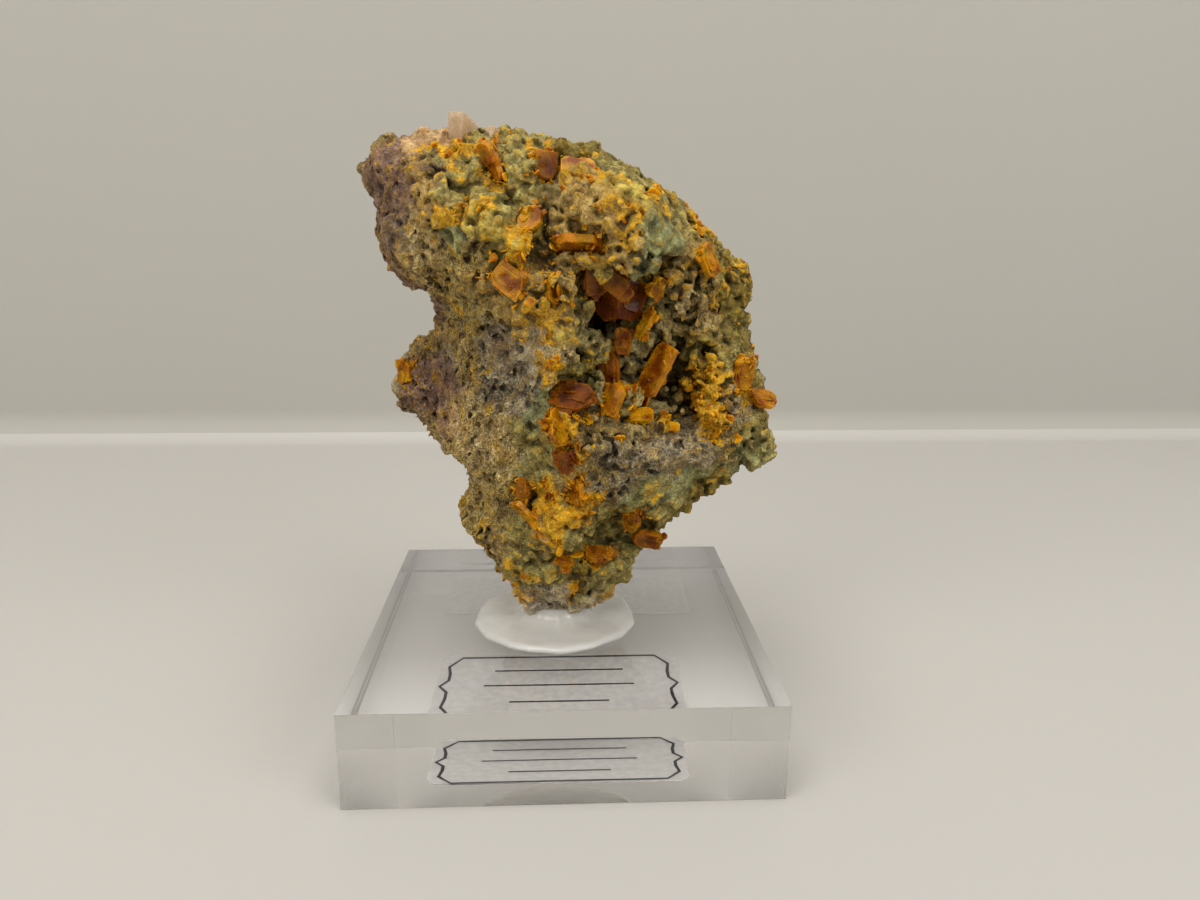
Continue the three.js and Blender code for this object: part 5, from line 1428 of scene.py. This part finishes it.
def add_crystals():
    material = wulfenite_material("wulfenite", 0.18)
    rng = np.random.default_rng(17)
    for name, tablets in TABLETS.items():
        node = "crystal_" + name
        crystal = grown_crystal(tablets, rng)
        growth = rim_growth(crystal[0], crystal[2], tablet_axes(*tablets[0][2:]), rng)
        points, triangles, edge, across = joined([crystal, growth])
        # The last value is painted shade for crystals far inside the vug.
        hue, pink, vug_shade = FACES.get(name, PLAIN)
        obj = new_object("wulfenite_" + name, points, triangles, material)
        obj.data.set_sharp_from_angle(angle=CRYSTAL_SHARP)
        add_values(obj, {"edge": edge, "across": across, "hue": hue, "pink": pink, "vug_shade": vug_shade})
        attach(obj, ROOT)
        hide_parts(node)


# ---------------------------------------------------------------- pale prisms

PRISM_EDGE = 0.14
PRISM_FACET = 0.45
PRISM_FLARE = 0.35  # a prism is this share wider at its top
PRISM_DENTS = ((0.05, 0.9, 61), (0.03, 0.4, 62))
PRISM_SINK = 0.05
PRISM_SHARP = math.radians(30)
PRISM_TAN = "C6A478"
PRISM_CREAM = "DEC298"


def pale_material():
    look = Look("pale_crystal")
    grain = look.noise(3000.0, 3.0)
    cloud = look.fit(look.noise(500.0, 4.0), 0.35, 0.65, 0.0, 1.0)
    return look.surface({
        "Base Color": look.mix(cloud, srgb(PRISM_TAN), srgb(PRISM_CREAM)),
        "Roughness": look.fit(grain, 0.3, 0.7, 0.14, 0.36), "IOR": 1.55, "Transmission Weight": 0.4,
        "Subsurface Weight": 0.4, "Subsurface Radius": (1.0, 0.75, 0.55), "Subsurface Scale": 1.0 * MM,
        "Normal": look.bump(grain, 0.02, 0.5)})


def fine_prism(node):
    """A prism's solid with bevelled edges and small faces: points, normals and triangles."""
    solid = bmesh.new()
    solid.from_mesh(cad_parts[node].data)
    bmesh.ops.remove_doubles(solid, verts=solid.verts, dist=0.001 * MM)
    bmesh.ops.dissolve_limit(solid, angle_limit=math.radians(1), verts=solid.verts, edges=solid.edges)
    bmesh.ops.bevel(
        solid, geom=solid.edges[:], offset=PRISM_EDGE * MM, segments=2, profile=0.6, affect="EDGES")
    bmesh.ops.triangulate(solid, faces=solid.faces)
    for _ in range(3):
        long_edges = [e for e in solid.edges if e.calc_length() > PRISM_FACET * MM]
        bmesh.ops.subdivide_edges(solid, edges=long_edges, cuts=1)
        bmesh.ops.triangulate(solid, faces=solid.faces)
    points = np.array([v.co for v in solid.verts], np.float32) / MM
    normals = np.array([v.normal for v in solid.verts], np.float32)
    triangles = np.array([[v.index for v in f.verts] for f in solid.faces])
    solid.free()
    return points, normals, triangles


def add_pale_prisms():
    material = pale_material()
    for node in ("pale_prism", "pale_prism_small"):
        points, normals, triangles = fine_prism(node)
        middle, foot, top = points[:, 0].mean(), points[:, 2].min(), points[:, 2].max()
        points[:, 0] += (points[:, 0] - middle) * PRISM_FLARE * (points[:, 2] - foot) / (top - foot)
        dent = layered(points, PRISM_DENTS) - PRISM_SINK
        obj = new_object(node + "_stub", points + normals * dent[:, None], triangles, material)
        obj.data.set_sharp_from_angle(angle=PRISM_SHARP)
        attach(obj, ROOT)
        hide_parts(node)


# ---------------------------------------------------------------- druse

# Where small wulfenite grew: share on each kind of crust, of grains and of thin blades.
DRUSE_KINDS = {
    "ochre": (1.0, 0.5), "rust": (0.7, 1.0), "cream": (0.08, 0.05), "hollow": (0.05, 0.1), "net": (0.02, 0.0),
    "broken": (0.02, 0.0), "olive": (0.02, 0.01), "coral": (0.02, 0.0), "pale": (0.04, 0.01),
    "brown": (0.02, 0.0), "lavender": (0.01, 0.0), "sage": (0.02, 0.0),
}
GRAIN = {"count": 2300, "cut": 0.0, "half": (0.12, 0.32), "power": 3.0, "flat": (0.3, 0.55), "lean": 0.45}
BLADE = {"count": 320, "cut": 0.4, "half": (0.25, 0.7), "power": 1.8, "flat": (0.13, 0.26), "lean": 0.75}
PRISM_TOP = (-11.3, -3.6, 75.0)  # no druse hides the pale prisms
PRISM_ROOM = 3.4
DRUSE_RINGS = ((0.82, 1.0), (1.0, 0.0), (0.82, -1.0))  # share of the width, share of half the thickness
DRUSE_EDGES = (0.25, 1.0, 0.25)  # painted edge glow of each ring
DRUSE_LENGTH = (0.9, 1.5)  # as shares of the width
DRUSE_RISE = 0.3  # share of its half length that a tablet's middle is above the crust
DRUSE_HUE = (0.8, 0.2)  # how yellow they are: the mean and the spread
PINK_DRUSE = 0.15  # share of the tablets that are half pink
DRUSE_WAVES = (1.3, 71)
RIM_DRUSE = 0.4  # how much more of them there are beside a crystal
RIM_DRUSE_REACH = 0.7


def druse_template(cut):
    """A small tablet with cut or whole corners: points of unit half size, triangles and painted edge glow."""
    if cut:
        near = 1 - cut
        quarter = [(1, -near), (1, near), (near, 1), (-near, 1)]
        corners = quarter + [(-x, -y) for x, y in quarter]
    else:
        corners = [(1, -1), (1, 1), (-1, 1), (-1, -1)]
    corners = np.array(corners, np.float32)
    n = len(corners)
    points = np.concatenate([np.column_stack([corners * w, np.full(n, h)]) for w, h in DRUSE_RINGS])
    last = 2 * n
    triangles = [(0, i, i + 1) for i in range(1, n - 1)]
    triangles += [(last, last + i + 1, last + i) for i in range(1, n - 1)]
    triangles += band_triangles(len(DRUSE_RINGS), n)
    return points.astype(np.float32), np.array(triangles), np.repeat(DRUSE_EDGES, n).astype(np.float32)


def standing_axes(normals, lean, rng):
    """Three axes for each tablet: its plate stands up from the surface at a random lean."""
    stand = normals + rng.normal(0, lean, normals.shape)
    stand /= np.linalg.norm(stand, axis=1, keepdims=True)
    side = np.cross(stand, rng.normal(0, 1, normals.shape))
    side /= np.linalg.norm(side, axis=1, keepdims=True)
    return np.stack([stand, side, np.cross(stand, side)], axis=1)


def add_druse(crust):
    """Small wulfenite crystals and grains, joined in a few meshes."""
    rng = np.random.default_rng(29)
    material = wulfenite_material("wulfenite_grains", 0.05)
    patchy = np.clip(0.5 + 1.2 * noise_at(crust.points, *DRUSE_WAVES), 0.02, 2)
    beside = RIM_DRUSE * np.exp(-(crust.crystal / RIM_DRUSE_REACH) ** 2)
    for column, (label, style) in enumerate((("grains", GRAIN), ("blades", BLADE))):
        shares = np.array([DRUSE_KINDS.get(k, (0, 0))[column] for k in KIND_NAMES], np.float32)
        likely = crust.shares @ shares * patchy + beside
        likely *= crust.points[:, 2] > WET_HEIGHTS[0]
        likely *= np.linalg.norm(crust.points - PRISM_TOP, axis=1) > PRISM_ROOM
        count = style["count"]
        pick = rng.choice(len(crust.points), count, p=likely / likely.sum())
        small, large = style["half"]
        half = small + (large - small) * rng.random(count) ** style["power"]
        axes = standing_axes(crust.normals[pick], style["lean"], rng)
        length, thickness = rng.uniform(*DRUSE_LENGTH, count), rng.uniform(*style["flat"], count)
        shape = half[:, None] * np.stack([length, np.ones(count), thickness], 1)
        template, triangles, edge = druse_template(style["cut"])
        centres = crust.points[pick] + axes[:, 0] * (shape[:, 0] * DRUSE_RISE)[:, None]
        verts = np.einsum("nij,njk->nik", template[None] * shape[:, None], axes) + centres[:, None]
        hue = np.clip(rng.normal(*DRUSE_HUE, count), 0, 1)
        pink = (rng.random(count) > 1 - PINK_DRUSE) * 0.5
        for part, chosen in (("upper", centres[:, 2] > SPLIT_Z), ("lower", centres[:, 2] <= SPLIT_Z)):
            shown, corners = int(chosen.sum()), len(template)
            faces = (triangles[None] + corners * np.arange(shown)[:, None, None]).reshape(-1, 3)
            points = verts[chosen].reshape(-1, 3)
            obj = new_object(f"druse_{label}_{part}", points, faces, material, smooth=False)
            add_values(obj, {
                "edge": np.tile(edge, shown), "across": np.tile(template[:, 1], shown),
                "hue": np.repeat(hue[chosen], corners), "pink": np.repeat(pink[chosen], corners)})
            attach(obj, ROOT)


# ---------------------------------------------------------------- glue

PAD_CENTRE = (-1.2, -1.5)
PAD_RADIUS = 10.9
PAD_SIDES = 144
PAD_BOTTOM = 11.97
BLOCK_TOP = 12.0
PAD_CORNERS = 17  # the rim has run out in short straight stretches
CORNER_SHIFT = 0.3  # how far a corner strays, as a share of a stretch
PAD_UNEVEN = (-0.22, 0.18)  # the least and the most that a corner stands out
PAD_PROFILE = (  # distance in from the rim, height above the block's top
    (0.45, 0.0), (0.12, 0.05), (0.0, 0.25), (0.06, 0.5), (0.3, 0.72), (0.8, 0.84), (1.4, 0.9), (2.2, 0.94),
    (3.0, 0.97), (4.0, 1.0), (5.0, 1.1), (5.7, 1.4), (6.3, 2.0), (6.9, 2.6), (7.6, 3.0), (8.4, 3.1))
PAD_SHELF = 1.1  # above this height the glue climbs up the rock's foot, unevenly
PAD_CLIMB = (0.22, 3.0, 44)
PAD_RIPPLE = (0.16, 2.6, 46)
GLUE_TINTS = ("F0ECE4", "FBF8F2")


def glue_material():
    look = Look("set_glue")
    cloud = look.noise(160.0, 3.0)
    return look.surface({
        "Base Color": look.mix(cloud, *map(srgb, GLUE_TINTS)),
        "Roughness": look.fit(cloud, 0.3, 0.7, 0.08, 0.2), "IOR": 1.5, "Transmission Weight": 0.5,
        "Subsurface Weight": 0.6, "Subsurface Radius": (1.0, 0.95, 0.9), "Subsurface Scale": 1.5 * MM,
        "Coat Weight": 0.7, "Coat Roughness": 0.04, "Normal": look.bump(look.noise(330.0), 0.3, 0.6)})


def pad_radii(share):
    """The glue's radius at each share of a turn, along straight stretches between uneven corners."""
    rng = np.random.default_rng(41)
    shifts = rng.uniform(-CORNER_SHIFT, CORNER_SHIFT, PAD_CORNERS)
    turns = np.sort((np.arange(PAD_CORNERS) + shifts) / PAD_CORNERS)
    radii = PAD_RADIUS + rng.uniform(*PAD_UNEVEN, PAD_CORNERS)
    share = np.where(share < turns[0], share + 1, share)
    turns, radii = np.append(turns, turns[0] + 1), np.append(radii, radii[0])
    x, y = (np.interp(share, turns, part(turns * 2 * math.pi) * radii) for part in (np.cos, np.sin))
    return np.hypot(x, y)


def add_glue():
    share = np.arange(PAD_SIDES) / PAD_SIDES
    turn = share * 2 * math.pi
    ring = np.column_stack([np.cos(turn), np.sin(turn), np.zeros(PAD_SIDES)]).astype(np.float32)
    radius = pad_radii(share)
    rows = []
    for inset, height in PAD_PROFILE:
        row = ring * (radius - inset)[:, None]
        climb = max(0.0, height - PAD_SHELF)
        lift = height + climb * layered(row + (0, 0, 30), [PAD_CLIMB])
        if inset > 1:
            lift = lift + layered(row + (0, 0, 60), [PAD_RIPPLE])
        row = row + (*PAD_CENTRE, BLOCK_TOP)
        row[:, 2] += lift
        rows.append(row)
    rows[0][:, 2] = PAD_BOTTOM
    top = rows[-1][:, 2].mean()
    points, triangles = closed_rings(rows, (*PAD_CENTRE, PAD_BOTTOM), (*PAD_CENTRE, top))
    obj = new_object("glue_disc", points, triangles[:, ::-1], glue_material())
    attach(obj, ROOT)
    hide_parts("glue_pad")


# ---------------------------------------------------------------- assembly

add_camera()
add_stage()
add_light()
add_block()
add_films()
add_rock()
add_crystals()
add_pale_prisms()
add_glue()
